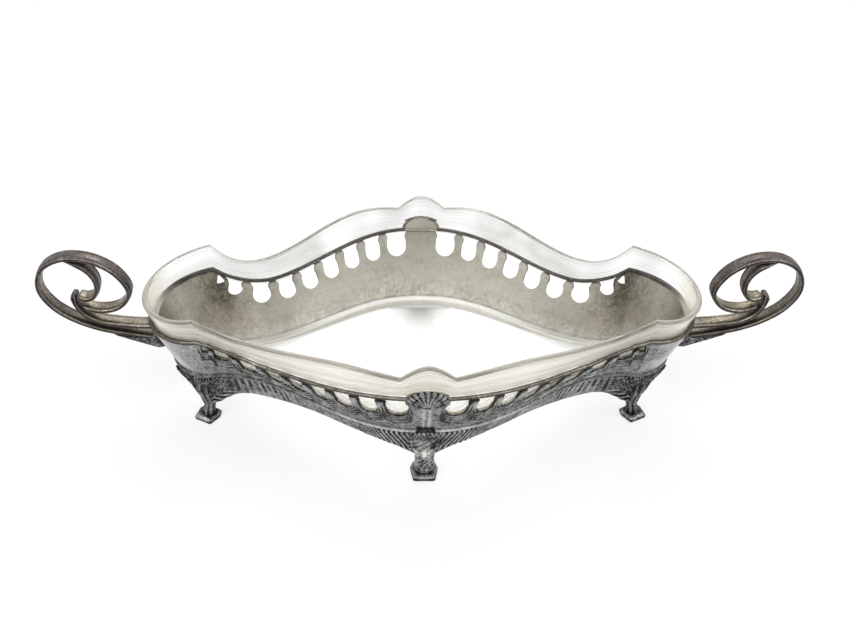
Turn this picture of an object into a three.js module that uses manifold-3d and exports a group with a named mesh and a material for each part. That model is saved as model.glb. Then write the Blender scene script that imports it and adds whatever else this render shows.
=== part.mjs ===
// A two-handled jardiniere: a silver-plated frame on six feet that holds a clear glass liner.
// Millimetres, +Z up. The origin is on the ground under the middle, +X runs along the length
// towards the right handle, and the front is at -Y.
import * as THREE from "three";
import Module from "manifold-3d";

const wasm = await Module();
wasm.setup();

// Plan of the metal rim: a bowed side, a waist, a corner and a round end, alike in four quarters
const BOW_HALF_WIDTH = 83.5; // middle of the object to the middle of a side
const BOW_FULLNESS = 1.18; // 1 is a plain cosine bow, more is fuller
const WAIST_X = 125.5;
const WAIST_HALF_WIDTH = 35.8;
const CORNER_X = 134;
const CORNER_HALF_WIDTH = 37;
const END_X = 168;
const CORNER_BLEND = 26; // how far before the corner the side's walls ease into the end's

// Heights above the ground
const RIM_MIDDLE_Z = 80;
const RIM_DIP_X = 98;
const RIM_DIP_Z = 68.3;
const RIM_CORNER_Z = 81;
const RIM_END_Z = 76;
const RIDGE_Z = 44; // the bright moulding between gallery and skirt
const RIDGE_HEIGHT = 4;
const SKIRT_ARCH_Z = 28; // lower edge of the skirt, highest between two feet
const SKIRT_ARCH_S = 70; // distance along the rim from the middle to that place
const SKIRT_FALL = 52; // distance from there to where the edge runs low to the corner
const SKIRT_MIDDLE_Z = 24;
const SKIRT_CORNER_Z = 20.5;
const SKIRT_END_Z = 24;

// Sections
const WALL = 2; // thickness of every metal wall
const RIDGE_INSET = 12; // how far the gallery leans in from rim to ridge
const RIDGE_STANDS_OUT = 1.6;
const SKIRT_LEAN = 0.38; // inwards for each millimetre down
const WIRE_RADIUS = 1.3;
const SEAT_Z = 30.5; // top of the ledge that carries the liner
const SEAT_THICKNESS = 2;
const SEAT_INSET = 24.5;
const GAP = 0.3; // solder gap between touching pieces
const KNEE_Z = 24; // below this the leaves of the feet hang straight down

// Openings of the gallery, counted from the middle of a side
const OPENING_COUNT = 7;
const OPENING_FIRST = 18.9;
const OPENING_PITCH = 16.3;
const OPENING_TOP_WIDTH = 10.2;
const OPENING_WIDTH = 11;
const FIRST_OPENING_WIDER = 2.8; // the one next to the shell, on the shell's side
const OPENING_DEPTH = 17; // below the rim wire, at the middle of a side
const OPENING_LAST_DEPTH = 13;
const SMALL_OPENING_WIDTH = 9;
const SMALL_OPENING_DEPTH = 10;
const TRIANGLE_WIDTH = 6.5;

// Glass liner
const GLASS_PEAK_Z = 105.3;
const GLASS_NOTCH_X = 15;
const GLASS_NOTCH_Z = 96.4;
const GLASS_SHOULDER_X = 38;
const GLASS_SHOULDER_Z = 98.7;
const GLASS_DIP_X = 104;
const GLASS_DIP_Z = 84.8;
const GLASS_CORNER_Z = 98.5;
const GLASS_END_Z = 92;
const GLASS_WALL = 3.5;
const GLASS_FLOOR = 5;
const GLASS_CLEARANCE = 1; // between liner and metal walls
const GLASS_RIM_FLARE = 1.6; // beyond the metal rim's plan, at the top edge

// Shell ornament at the middle of each long side
const SHELL_WIDTH = 25;
const SHELL_RISE = 8.8; // above the rim
const SHELL_SAG = 4.5; // below the rim
const SHELL_THICKNESS = 3;
const SHELL_FLUTES = 9;
const SHELL_LEAN = 0.08; // outwards for each millimetre up, above the rim

// Feet
const CORNER_FOOT_ANGLE = 27; // degrees round the end, from the side towards the tip
const PAD_HEIGHT = 4;
const PAD_FRONT_WIDTH = 12;
const PAD_WIDTH = 15.4;
const PAD_DEPTH = 13.3;
const PAD_INSET = 19.3; // rim to the middle of the pad
const LEAF_THICKNESS = 2.2;
const LEAF_TIP_THICKNESS = 0.8;
const LEG_TOP_Z = 33;
const MIDDLE_LEG_HALF_WIDTH = 5.7;
const MIDDLE_LEG_HALF_DEPTH = 5;
const CORNER_LEG_HALF_WIDTH = 4.4;
const CORNER_LEG_HALF_DEPTH = 4.2;
const MIDDLE_LEAF_REACH = 46; // from the leg, each way along the skirt
const MIDDLE_LEAF_TIP_Z = 27; // lower edge of a leaf, at its tip and at the leg
const MIDDLE_LEAF_LEG_Z = 13;
const MIDDLE_LEAF_CURVE = 2; // 1 is a straight lower edge, more hollows it
const CORNER_LEAF_SIDE_REACH = 34;
const CORNER_LEAF_SIDE_TIP_Z = 20.5;
const CORNER_LEAF_SIDE_CURVE = 0.6;
const CORNER_LEAF_END_REACH = 21;
const CORNER_LEAF_END_TIP_Z = 38;
const CORNER_LEAF_END_CURVE = 1;
const CORNER_LEAF_LEG_Z = 12;
const RECESS_WIDTH = 10.4; // break in the ridge above the middle feet

// Handles, in the plane through both ends
const STRAP_WIDTH = 9.6;
const STRAP_THICKNESS = 3;
const ROOT_WIDTH = 11.6;

// Plan of the rim

function sideHalfWidth(x) {
  const fall = Math.pow(Math.min(1, x / WAIST_X), BOW_FULLNESS);
  const bow = (1 + Math.cos(Math.PI * fall)) / 2;
  const past = Math.max(0, x - WAIST_X) / (CORNER_X - WAIST_X);
  const bowed = (BOW_HALF_WIDTH - WAIST_HALF_WIDTH) * bow;
  return WAIST_HALF_WIDTH + bowed + (CORNER_HALF_WIDTH - WAIST_HALF_WIDTH) * past;
}

// The round end is a circle through the corner and the tip, centred on the long axis.
const END_CENTRE_X =
  (END_X + CORNER_X) / 2 - (CORNER_HALF_WIDTH * CORNER_HALF_WIDTH) / (2 * (END_X - CORNER_X));
const END_RADIUS = END_X - END_CENTRE_X;
const CORNER_ANGLE = Math.atan2(CORNER_X - END_CENTRE_X, CORNER_HALF_WIDTH);

function cosineStep(share) {
  return (1 + Math.cos(Math.PI * Math.min(1, Math.max(0, share)))) / 2;
}

function rimHeight(x) {
  if (x < RIM_DIP_X) {
    return RIM_DIP_Z + (RIM_MIDDLE_Z - RIM_DIP_Z) * cosineStep(Math.pow(x / RIM_DIP_X, 1.3));
  }
  const rise = Math.pow((x - RIM_DIP_X) / (CORNER_X - RIM_DIP_X), 1.6);
  return RIM_DIP_Z + (RIM_CORNER_Z - RIM_DIP_Z) * rise;
}

function glassHeight(x) {
  if (x < GLASS_NOTCH_X) {
    const across = x / GLASS_NOTCH_X;
    return GLASS_PEAK_Z - (GLASS_PEAK_Z - GLASS_NOTCH_Z) * Math.pow(across, 1.7);
  }
  if (x < GLASS_SHOULDER_X) {
    const along = (x - GLASS_NOTCH_X) / (GLASS_SHOULDER_X - GLASS_NOTCH_X);
    return GLASS_NOTCH_Z + (GLASS_SHOULDER_Z - GLASS_NOTCH_Z) * Math.sin((Math.PI / 2) * along);
  }
  if (x < GLASS_DIP_X) {
    const along = (x - GLASS_SHOULDER_X) / (GLASS_DIP_X - GLASS_SHOULDER_X);
    return GLASS_DIP_Z + (GLASS_SHOULDER_Z - GLASS_DIP_Z) * cosineStep(along);
  }
  const rise = Math.pow((x - GLASS_DIP_X) / (CORNER_X - GLASS_DIP_X), 2.2);
  return GLASS_DIP_Z + (GLASS_CORNER_Z - GLASS_DIP_Z) * rise;
}

// One quarter of the rim: share 0 to 1 runs along the side, 1 to 2 round the end.
function quarterPoint(share) {
  if (share <= 1) {
    const x = CORNER_X * share;
    const step = 0.01;
    const slope = (sideHalfWidth(x + step) - sideHalfWidth(Math.max(0, x - step))) / (2 * step);
    const heading = x < step ? 0 : -Math.atan(slope);
    return { x, y: sideHalfWidth(x), heading, rim: rimHeight(x), glass: glassHeight(x) };
  }
  const turn = CORNER_ANGLE + (share - 1) * (Math.PI / 2 - CORNER_ANGLE);
  const ease = Math.pow(2 - share, 2);
  return {
    x: END_CENTRE_X + END_RADIUS * Math.sin(turn),
    y: END_RADIUS * Math.cos(turn),
    heading: turn,
    rim: RIM_END_Z + (RIM_CORNER_Z - RIM_END_Z) * ease,
    glass: GLASS_END_Z + (GLASS_CORNER_Z - GLASS_END_Z) * ease,
  };
}

// Distances along the rim from the middle of the side, in millimetres
const SAMPLES = 800;
const shareAt = [];
const lengthAt = [];
for (let i = 0; i <= SAMPLES; i += 1) {
  const share = (2 * i) / SAMPLES;
  const here = quarterPoint(share);
  const before = quarterPoint(Math.max(0, share - 2 / SAMPLES));
  shareAt.push(share);
  lengthAt.push(i === 0 ? 0 : lengthAt[i - 1] + Math.hypot(here.x - before.x, here.y - before.y));
}
const CORNER_S = lengthAt[SAMPLES / 2];
const TIP_S = lengthAt[SAMPLES];

// The point at distance s along the rim. It passes the tip to the front side, and below 0 to the
// other half of the same side.
function stationAt(s) {
  const mirrorX = s < 0 ? -1 : 1;
  const mirrorY = Math.abs(s) > TIP_S ? -1 : 1;
  const along = Math.abs(s) > TIP_S ? 2 * TIP_S - Math.abs(s) : Math.abs(s);
  let i = 1;
  while (i < SAMPLES && lengthAt[i] < along) i += 1;
  const part = (along - lengthAt[i - 1]) / (lengthAt[i] - lengthAt[i - 1]);
  const point = quarterPoint(shareAt[i - 1] + part * (shareAt[i] - shareAt[i - 1]));
  const nearCorner = along > CORNER_S ? 0 : Math.max(0, 1 - (CORNER_S - along) / CORNER_BLEND);
  const heading = point.heading + (CORNER_ANGLE - point.heading) * nearCorner;
  return {
    s: along,
    x: mirrorX * point.x,
    y: mirrorY * point.y,
    nx: mirrorX * Math.sin(heading),
    ny: mirrorY * Math.cos(heading),
    rim: point.rim,
    glass: point.glass,
  };
}

// Every long piece has its stations at the same places, so that faceted neighbours stay parallel.
const NOTCH_S = lengthAt[Math.round((SAMPLES / 2) * (GLASS_NOTCH_X / CORNER_X))];
const GRID_SPANS = [
  [0, NOTCH_S, 3],
  [NOTCH_S, CORNER_S, 17],
  [CORNER_S, TIP_S, 8],
  [TIP_S, 2 * TIP_S - CORNER_S, 8],
  [2 * TIP_S - CORNER_S, 2 * TIP_S - NOTCH_S, 17],
  [2 * TIP_S - NOTCH_S, 2 * TIP_S, 3],
];
const GRID = GRID_SPANS.flatMap(([from, to, count]) =>
  Array.from({ length: count }, (_, i) => from + ((to - from) * i) / count),
);

function stationsBetween(from, to) {
  const margin = 0.4;
  const inner = GRID.filter((s) => s > from + margin && s < to - margin);
  return [from, ...inner, to].map(stationAt);
}

// A point beside the rim's plan: offset is outwards, z is the height.
function beside(station, offset, z) {
  return new THREE.Vector3(station.x + station.nx * offset, station.y + station.ny * offset, z);
}

// Solids

// The triangles that close one end of a loft, wound as its ring is.
function capTriangles(ring) {
  const normal = new THREE.Vector3();
  ring.forEach((point, i) => normal.add(point.clone().cross(ring[(i + 1) % ring.length])));
  normal.normalize();
  const across = new THREE.Vector3().subVectors(ring[1], ring[0]).normalize();
  const up = new THREE.Vector3().crossVectors(normal, across);
  const flat = ring.map((point) => new THREE.Vector2(point.dot(across), point.dot(up)));
  return THREE.ShapeUtils.triangulateShape(flat, []).map(([a, b, c]) => {
    const turn = (flat[b].x - flat[a].x) * (flat[c].y - flat[a].y);
    const back = (flat[b].y - flat[a].y) * (flat[c].x - flat[a].x);
    return turn > back ? [a, b, c] : [a, c, b];
  });
}

// A skin over a row of like rings of points, capped at both ends. leansForward says which way
// each span's four-sided patches are split.
function loft(rings, leansForward = () => true) {
  const size = rings[0].length;
  const vertices = rings.flat().flatMap((point) => [point.x, point.y, point.z]);
  const triangles = [];
  for (let r = 0; r < rings.length - 1; r += 1) {
    const here = r * size;
    const next = here + size;
    for (let i = 0; i < size; i += 1) {
      const j = (i + 1) % size;
      if (leansForward(r, i)) {
        triangles.push([here + i, here + j, next + j], [here + i, next + j, next + i]);
      } else {
        triangles.push([here + i, here + j, next + i], [here + j, next + j, next + i]);
      }
    }
  }
  const last = (rings.length - 1) * size;
  capTriangles(rings[0]).forEach(([a, b, c]) => triangles.push([a, c, b]));
  capTriangles(rings[rings.length - 1]).forEach((corner) => {
    triangles.push(corner.map((i) => last + i));
  });
  return solid(vertices, triangles);
}

function solid(vertices, triangles) {
  const corner = (i) => new THREE.Vector3().fromArray(vertices, 3 * i);
  let volume = 0;
  triangles.forEach(([a, b, c]) => {
    volume += corner(a).dot(corner(b).cross(corner(c)));
  });
  const outward = volume < 0 ? triangles.map(([a, b, c]) => [a, c, b]) : triangles;
  return new wasm.Manifold(
    new wasm.Mesh({
      numProp: 3,
      vertProperties: new Float32Array(vertices),
      triVerts: new Uint32Array(outward.flat()),
    }),
  );
}

function geometryOf(manifold) {
  const mesh = manifold.getMesh();
  const geometry = new THREE.BufferGeometry();
  geometry.setAttribute("position", new THREE.BufferAttribute(mesh.vertProperties, 3));
  geometry.setIndex(new THREE.BufferAttribute(mesh.triVerts, 1));
  geometry.computeVertexNormals();
  return geometry;
}

// Carries a section, which is a list of [offset, z] at each station, along the rim. Patches are
// split alike on both sides of a tip or a side's middle, so that neighbours match in all quarters.
function alongRim(stations, section) {
  const rings = stations.map((station) =>
    section(station).map(([offset, z]) => beside(station, offset, z)),
  );
  return loft(rings, (r) => stations[r + 1].s > stations[r].s);
}

// Gallery and end walls

function wallOffset(station, z) {
  return (-RIDGE_INSET * (station.rim - z)) / (station.rim - RIDGE_Z);
}

function upperWall(station) {
  const low = RIDGE_Z + RIDGE_HEIGHT / 2 + GAP;
  const high = station.rim - WIRE_RADIUS - GAP;
  const foot = wallOffset(station, low);
  const head = wallOffset(station, high);
  return [
    [foot, low],
    [head, high],
    [head - WALL, high],
    [foot - WALL, low],
  ];
}

// Outline of an opening, as [across, below the rim]: a narrow neck over a round belly.
function openingOutline(topWidth, width, depth) {
  const radius = width / 2;
  const above = 6;
  const neck = 2.5;
  const outline = [
    [-topWidth / 2, -above],
    [-topWidth / 2, neck],
  ];
  for (let turn = 0; turn <= 180; turn += 30) {
    const angle = THREE.MathUtils.degToRad(turn);
    outline.push([-radius * Math.cos(angle), depth - radius + radius * Math.sin(angle)]);
  }
  outline.push([topWidth / 2, neck], [topWidth / 2, -above]);
  return outline;
}

// A straight cutter through the wall at a station.
function cutterAt(station, outline) {
  const reach = 8;
  const middle = wallOffset(station, station.rim - OPENING_DEPTH / 2);
  const ring = (offset) =>
    outline.map(([across, below]) => {
      const point = beside(station, offset, station.rim - below);
      point.x += across * station.ny;
      point.y -= across * station.nx;
      return point;
    });
  return loft([ring(middle - reach), ring(middle + reach)]);
}

function gallery() {
  let panel = alongRim(stationsBetween(GAP / 2, CORNER_S - GAP / 2), upperWall);
  for (let i = 0; i < OPENING_COUNT; i += 1) {
    const share = i / (OPENING_COUNT - 1);
    const depth = OPENING_DEPTH + (OPENING_LAST_DEPTH - OPENING_DEPTH) * share;
    const wider = i === 0 ? FIRST_OPENING_WIDER : 0;
    const outline = openingOutline(OPENING_TOP_WIDTH + wider, OPENING_WIDTH + wider, depth);
    const at = OPENING_FIRST + OPENING_PITCH * i - wider / 2;
    panel = panel.subtract(cutterAt(stationAt(at), outline));
  }
  const lastEdge = OPENING_FIRST + OPENING_PITCH * (OPENING_COUNT - 1) + OPENING_WIDTH / 2;
  const bar = OPENING_PITCH - OPENING_WIDTH;
  const smallAt = lastEdge + bar + SMALL_OPENING_WIDTH / 2;
  const small = openingOutline(SMALL_OPENING_WIDTH * 0.8, SMALL_OPENING_WIDTH, SMALL_OPENING_DEPTH);
  panel = panel.subtract(cutterAt(stationAt(smallAt), small));
  const triangle = [
    [-TRIANGLE_WIDTH / 2, 9],
    [TRIANGLE_WIDTH / 2, 9.5],
    [TRIANGLE_WIDTH / 2, 4.5],
  ];
  const triangleAt = smallAt + SMALL_OPENING_WIDTH / 2 + 2.2 + TRIANGLE_WIDTH / 2;
  return panel.subtract(cutterAt(stationAt(triangleAt), triangle));
}

function endWall() {
  const from = CORNER_S + GAP / 2;
  return alongRim(stationsBetween(from, 2 * TIP_S - from), upperWall);
}

// Rim wire and ridge moulding: one half each, joined at the middle of the long sides

function rimWire() {
  const section = (station) => {
    const ring = [];
    for (let i = 0; i < 6; i += 1) {
      const angle = (Math.PI / 3) * i;
      const out = WIRE_RADIUS * Math.cos(angle);
      ring.push([-WALL / 2 + out, station.rim + WIRE_RADIUS * Math.sin(angle)]);
    }
    return ring;
  };
  return alongRim(stationsBetween(GAP / 2, 2 * TIP_S - GAP / 2), section);
}

function ridgeMoulding() {
  const half = RIDGE_HEIGHT / 2;
  const section = (station) => [
    [skirtOffset(RIDGE_Z - half) - WALL, RIDGE_Z - half],
    [-RIDGE_INSET - WALL, RIDGE_Z],
    [wallOffset(station, RIDGE_Z + half) - WALL, RIDGE_Z + half],
    [wallOffset(station, RIDGE_Z + half), RIDGE_Z + half],
    [-RIDGE_INSET + RIDGE_STANDS_OUT, RIDGE_Z + half * 0.35],
    [-RIDGE_INSET + RIDGE_STANDS_OUT, RIDGE_Z - half * 0.35],
    [skirtOffset(RIDGE_Z - half), RIDGE_Z - half],
  ];
  const from = RECESS_WIDTH / 2;
  return alongRim(stationsBetween(from, 2 * TIP_S - from), section);
}

// Skirt under the ridge, and the ledge inside it

function skirtOffset(z) {
  return -RIDGE_INSET - SKIRT_LEAN * (RIDGE_Z - z);
}

function skirtSection(bottom) {
  return (station) => {
    const high = RIDGE_Z - RIDGE_HEIGHT / 2 - GAP;
    const low = bottom(station.s);
    return [
      [skirtOffset(high) - WALL, high],
      [skirtOffset(SEAT_Z) - WALL, SEAT_Z],
      [skirtOffset(low) - WALL, low],
      [skirtOffset(low), low],
      [skirtOffset(SEAT_Z), SEAT_Z],
      [skirtOffset(high), high],
    ];
  };
}

function sideSkirt() {
  const bottom = (s) => {
    const [low, fall] = s < SKIRT_ARCH_S ? [SKIRT_MIDDLE_Z, SKIRT_ARCH_S] : [SKIRT_CORNER_Z, SKIRT_FALL];
    return low + (SKIRT_ARCH_Z - low) * cosineStep(Math.abs(s - SKIRT_ARCH_S) / fall);
  };
  return alongRim(stationsBetween(GAP / 2, CORNER_S - GAP / 2), skirtSection(bottom));
}

function endSkirt() {
  const from = CORNER_S + GAP / 2;
  const stations = stationsBetween(from, 2 * TIP_S - from);
  return alongRim(stations, skirtSection(() => SKIRT_END_Z));
}

function liningLedge() {
  const low = SEAT_Z - SEAT_THICKNESS;
  const section = () => [
    [skirtOffset(low) - WALL - 2 * GAP, low],
    [-SEAT_INSET, low],
    [-SEAT_INSET, SEAT_Z],
    [skirtOffset(SEAT_Z) - WALL - GAP, SEAT_Z],
  ];
  return alongRim(stationsBetween(GAP / 2, 2 * TIP_S - GAP / 2), section);
}

// Glass liner

function allRound() {
  const right = stationsBetween(0, 2 * TIP_S);
  const left = right.slice(1, -1).reverse();
  return [...right, ...left.map((station) => ({ ...station, x: -station.x, nx: -station.nx }))];
}

function glassLiner() {
  const base = SEAT_Z + GAP;
  const seatOffset = skirtOffset(base) - WALL - GLASS_CLEARANCE;
  const ridgeOffset = -RIDGE_INSET - WALL - GLASS_CLEARANCE;
  const rimOffset = -WALL - GLASS_CLEARANCE;
  const roundness = 1.2;
  const levels = [
    (station) => [seatOffset - roundness, base],
    (station) => [seatOffset, base + roundness],
    (station) => [ridgeOffset, RIDGE_Z],
    (station) => [rimOffset, station.rim],
    (station) => [GLASS_RIM_FLARE, station.glass - roundness],
    (station) => [GLASS_RIM_FLARE - roundness, station.glass],
    (station) => [GLASS_RIM_FLARE - GLASS_WALL + roundness, station.glass],
    (station) => [GLASS_RIM_FLARE - GLASS_WALL, station.glass - roundness],
    (station) => [rimOffset - GLASS_WALL, station.rim],
    (station) => [ridgeOffset - GLASS_WALL, RIDGE_Z + 1],
    (station) => [seatOffset - GLASS_WALL, base + GLASS_FLOOR],
  ];
  const stations = allRound();
  const rings = levels.map((level) => stations.map((station) => beside(station, ...level(station))));
  return loft(rings, (r, i) => stations[(i + 1) % stations.length].s > stations[i].s);
}

// Shell ornament: a scalloped fan in front of the rim wire, leaning out a little

function shellOrnament() {
  const middle = stationAt(0);
  const back = -WALL / 2 + WIRE_RADIUS + GAP;
  const outline = [];
  for (let turn = 0; turn < 360; turn += 10) {
    const angle = THREE.MathUtils.degToRad(turn);
    const upper = turn <= 180;
    const scallop = upper ? 1 - 0.07 * Math.pow(Math.cos((SHELL_FLUTES * angle) / 2), 6) : 1;
    const reach = upper ? SHELL_RISE : SHELL_SAG;
    outline.push([(SHELL_WIDTH / 2) * scallop * Math.cos(angle), reach * scallop * Math.sin(angle)]);
  }
  const ring = (size, out) =>
    outline.map(([across, up]) => {
      const z = middle.rim + up * size;
      const point = beside(middle, back + out + SHELL_LEAN * Math.max(0, up * size), z);
      point.x += across * size;
      return point;
    });
  return loft([
    ring(0.96, 0),
    ring(1, SHELL_THICKNESS * 0.3),
    ring(0.93, SHELL_THICKNESS * 0.75),
    ring(0.55, SHELL_THICKNESS * 0.8),
    ring(0.3, SHELL_THICKNESS),
  ]);
}

// Feet: pad, leg and leaves are one casting

// A leg of stacked oval rings. A row is [share of the height, how far out of the pad's middle, how
// far along the rim, width, depth], out and depth as shares of the leg's half depth, the others of
// its half width.
function legAt(station, halfWidth, halfDepth, rows) {
  const sides = 12;
  const rings = rows.map(([up, out, along, wide, deep]) => {
    const ring = [];
    for (let i = 0; i < sides; i += 1) {
      const angle = (2 * Math.PI * i) / sides;
      const offset = -PAD_INSET + halfDepth * (out + deep * Math.sin(angle));
      const point = beside(station, offset, LEG_TOP_Z * up);
      const across = halfWidth * (along + wide * Math.cos(angle));
      point.x += across * station.ny;
      point.y -= across * station.nx;
      ring.push(point);
    }
    return ring;
  });
  return loft(rings);
}

function footPad(station) {
  const outline = [
    [-PAD_FRONT_WIDTH / 2, PAD_DEPTH / 2],
    [PAD_FRONT_WIDTH / 2, PAD_DEPTH / 2],
    [PAD_WIDTH / 2, -PAD_DEPTH * 0.15],
    [PAD_FRONT_WIDTH * 0.48, -PAD_DEPTH / 2],
    [-PAD_FRONT_WIDTH * 0.48, -PAD_DEPTH / 2],
    [-PAD_WIDTH / 2, -PAD_DEPTH * 0.15],
  ];
  const ring = (size, z) =>
    outline.map(([across, out]) => {
      const point = beside(station, out * size - PAD_INSET, z);
      point.x += across * size * station.ny;
      point.y -= across * size * station.nx;
      return point;
    });
  return loft([ring(1, 0), ring(1, PAD_HEIGHT * 0.8), ring(0.86, PAD_HEIGHT)]);
}

function leafStations(from, to) {
  const mirrored = GRID.filter((s) => s > 0).map((s) => -s);
  const inner = [...mirrored.reverse(), ...GRID].filter((s) => s > from + 1 && s < to - 1);
  return [from, ...inner, to];
}

// Leaves spread from the leg along the skirt and thin out towards their tips. A side is its reach,
// the height of the lower edge at the tip, and the curve of that edge down to the leg.
function leaves(footS, legZ, before, after) {
  const stations = leafStations(footS - before.reach, footS + after.reach).map((s) => {
    const side = s < footS ? before : after;
    const share = Math.max(0, 1 - Math.abs(s - footS) / side.reach);
    const low = side.tipZ - (side.tipZ - legZ) * Math.pow(share, side.curve);
    const thickens = (LEAF_THICKNESS - LEAF_TIP_THICKNESS) * Math.sqrt(share);
    return { ...stationAt(s), low, thickness: LEAF_TIP_THICKNESS + thickens };
  });
  const high = RIDGE_Z - RIDGE_HEIGHT / 2 - GAP;
  const section = (station) => {
    const levels = [0, 0.3, 0.6, 1].map((down) => high - (high - station.low) * down);
    const back = levels.map((z) => [skirtOffset(Math.max(z, KNEE_Z)) + GAP, z]);
    const front = back.map(([offset, z]) => [offset + station.thickness, z]);
    return [...front, ...back.reverse()];
  };
  return alongRim(stations, section);
}

function middleFoot() {
  const station = stationAt(0);
  const leg = legAt(station, MIDDLE_LEG_HALF_WIDTH, MIDDLE_LEG_HALF_DEPTH, [
    [0.09, 0.2, 0, 0.88, 0.92],
    [0.21, 0.36, 0, 1, 1],
    [0.39, 0.4, 0, 0.98, 0.92],
    [0.55, 0.32, 0, 1.02, 0.78],
    [0.7, 0.6, 0, 1.2, 0.58],
    [0.82, 0.74, 0, 1.45, 0.45],
    [1, 0.94, 0, 1.75, 0.25],
  ]);
  const leaf = { reach: MIDDLE_LEAF_REACH, tipZ: MIDDLE_LEAF_TIP_Z, curve: MIDDLE_LEAF_CURVE };
  const spread = leaves(0, MIDDLE_LEAF_LEG_Z, leaf, leaf);
  return spread.add(leg).add(footPad(station));
}

function cornerFoot() {
  const turn = THREE.MathUtils.degToRad(CORNER_FOOT_ANGLE) - CORNER_ANGLE;
  const footS = CORNER_S + END_RADIUS * turn;
  const station = stationAt(footS);
  const leg = legAt(station, CORNER_LEG_HALF_WIDTH, CORNER_LEG_HALF_DEPTH, [
    [0.09, 0, -0.2, 1, 1],
    [0.24, -0.14, -0.35, 0.88, 0.9],
    [0.4, -0.3, -0.48, 0.84, 0.84],
    [0.55, 0.05, -0.5, 0.95, 0.78],
    [0.7, 0.62, -0.5, 1.15, 0.62],
    [0.82, 0.86, -0.4, 1.45, 0.52],
    [1, 1.14, 0, 1.82, 0.3],
  ]);
  const sideLeaf = {
    reach: CORNER_LEAF_SIDE_REACH,
    tipZ: CORNER_LEAF_SIDE_TIP_Z,
    curve: CORNER_LEAF_SIDE_CURVE,
  };
  const endLeaf = {
    reach: CORNER_LEAF_END_REACH,
    tipZ: CORNER_LEAF_END_TIP_Z,
    curve: CORNER_LEAF_END_CURVE,
  };
  const spread = leaves(footS, CORNER_LEAF_LEG_Z, sideLeaf, endLeaf);
  return spread.add(leg).add(footPad(station));
}

// Handles: flat straps bent in the plane of the long axis. A knot is [distance past the end, z].

function strap(knots, steps, thickness) {
  const along = knots.map(([past, z]) => new THREE.Vector3(END_X + past, 0, z));
  const curve = new THREE.CatmullRomCurve3(along);
  const edge = 0.28 * thickness;
  const rings = curve.getSpacedPoints(steps).map((point, i) => {
    const tangent = curve.getTangentAt(i / steps);
    const out = new THREE.Vector3(-tangent.z, 0, tangent.x).normalize();
    const corner = (across, side) =>
      point.clone().addScaledVector(out, side).setY(across);
    const half = STRAP_WIDTH / 2;
    const thick = thickness / 2;
    return [
      corner(-half, -thick + edge),
      corner(-half, thick - edge),
      corner(-half + edge, thick),
      corner(half - edge, thick),
      corner(half, thick - edge),
      corner(half, -thick + edge),
      corner(half - edge, -thick),
      corner(-half + edge, -thick),
    ];
  });
  return loft(rings);
}

// The whiplash: out from the root, round the outside, and back in under the tip.
const LOOP_KNOTS = [
  [3.3, 53.5],
  [16, 58],
  [32.5, 63.8],
  [46, 71.2],
  [56.4, 80.7],
  [62, 94.6],
  [57.5, 108.8],
  [45.4, 116.2],
  [28.3, 115.1],
  [14, 104.6],
  [9.4, 91],
  [17.6, 80.4],
  [29.5, 78],
  [39.2, 81],
];

// The upper strand from the end wall to the tip of the scroll
const STRAND_KNOTS = [
  [-3.3, 65.6],
  [8, 66],
  [20, 67.2],
  [31.3, 69.8],
  [39.2, 75.8],
  [43, 83],
  [44.1, 89.6],
];

// The inner scroll, from under the top of the loop to the tip of the strand
const VOLUTE_KNOTS = [
  [39, 113.3],
  [34.6, 111.3],
  [30.8, 107.6],
  [28.2, 102.8],
  [27.4, 97],
  [28.6, 91.6],
  [32, 87.8],
  [36.6, 87],
  [41.2, 89.6],
];

function handleRoot() {
  const outline = [
    [-8.7, 50],
    [-4.7, 61.5],
    [2.4, 59.5],
    [2.1, 55.4],
    [2.1, 51.6],
    [-3.5, 49.8],
  ];
  const ring = (y) => outline.map(([past, z]) => new THREE.Vector3(END_X + past, y, z));
  return loft([ring(-ROOT_WIDTH / 2), ring(ROOT_WIDTH / 2)]);
}

// Materials

const plate = new THREE.MeshStandardMaterial({ color: 0x8d8a84, roughness: 0.42, metalness: 1 });
const patina = new THREE.MeshStandardMaterial({ color: 0x5f5e5c, roughness: 0.5, metalness: 1 });
const bright = new THREE.MeshStandardMaterial({ color: 0xb9b5ac, roughness: 0.35, metalness: 1 });
const glass = new THREE.MeshStandardMaterial({
  color: 0xe9ece4,
  roughness: 0.05,
  metalness: 0,
  transparent: true,
  opacity: 0.35,
});

// Assembly

const jardiniere = new THREE.Group();

function place(name, manifold, material, mirrorX = 1, mirrorY = 1) {
  const mesh = new THREE.Mesh(geometryOf(manifold), material);
  mesh.name = name;
  mesh.scale.set(mirrorX, mirrorY, 1);
  jardiniere.add(mesh);
}

const SIDES = [
  ["right", 1],
  ["left", -1],
];
const FACES = [
  ["back", 1],
  ["front", -1],
];

place("glass_liner", glassLiner(), glass);

const sharedGallery = gallery();
const sharedSkirt = sideSkirt();
const sharedCornerFoot = cornerFoot();
for (const [face, mirrorY] of FACES) {
  for (const [side, mirrorX] of SIDES) {
    place(`gallery_${face}_${side}`, sharedGallery, plate, mirrorX, mirrorY);
    place(`skirt_${face}_${side}`, sharedSkirt, patina, mirrorX, mirrorY);
    place(`foot_${face}_${side}`, sharedCornerFoot, patina, mirrorX, mirrorY);
  }
  place(`foot_${face}_middle`, middleFoot(), patina, 1, mirrorY);
  place(`shell_${face}`, shellOrnament(), patina, 1, mirrorY);
}

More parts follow.
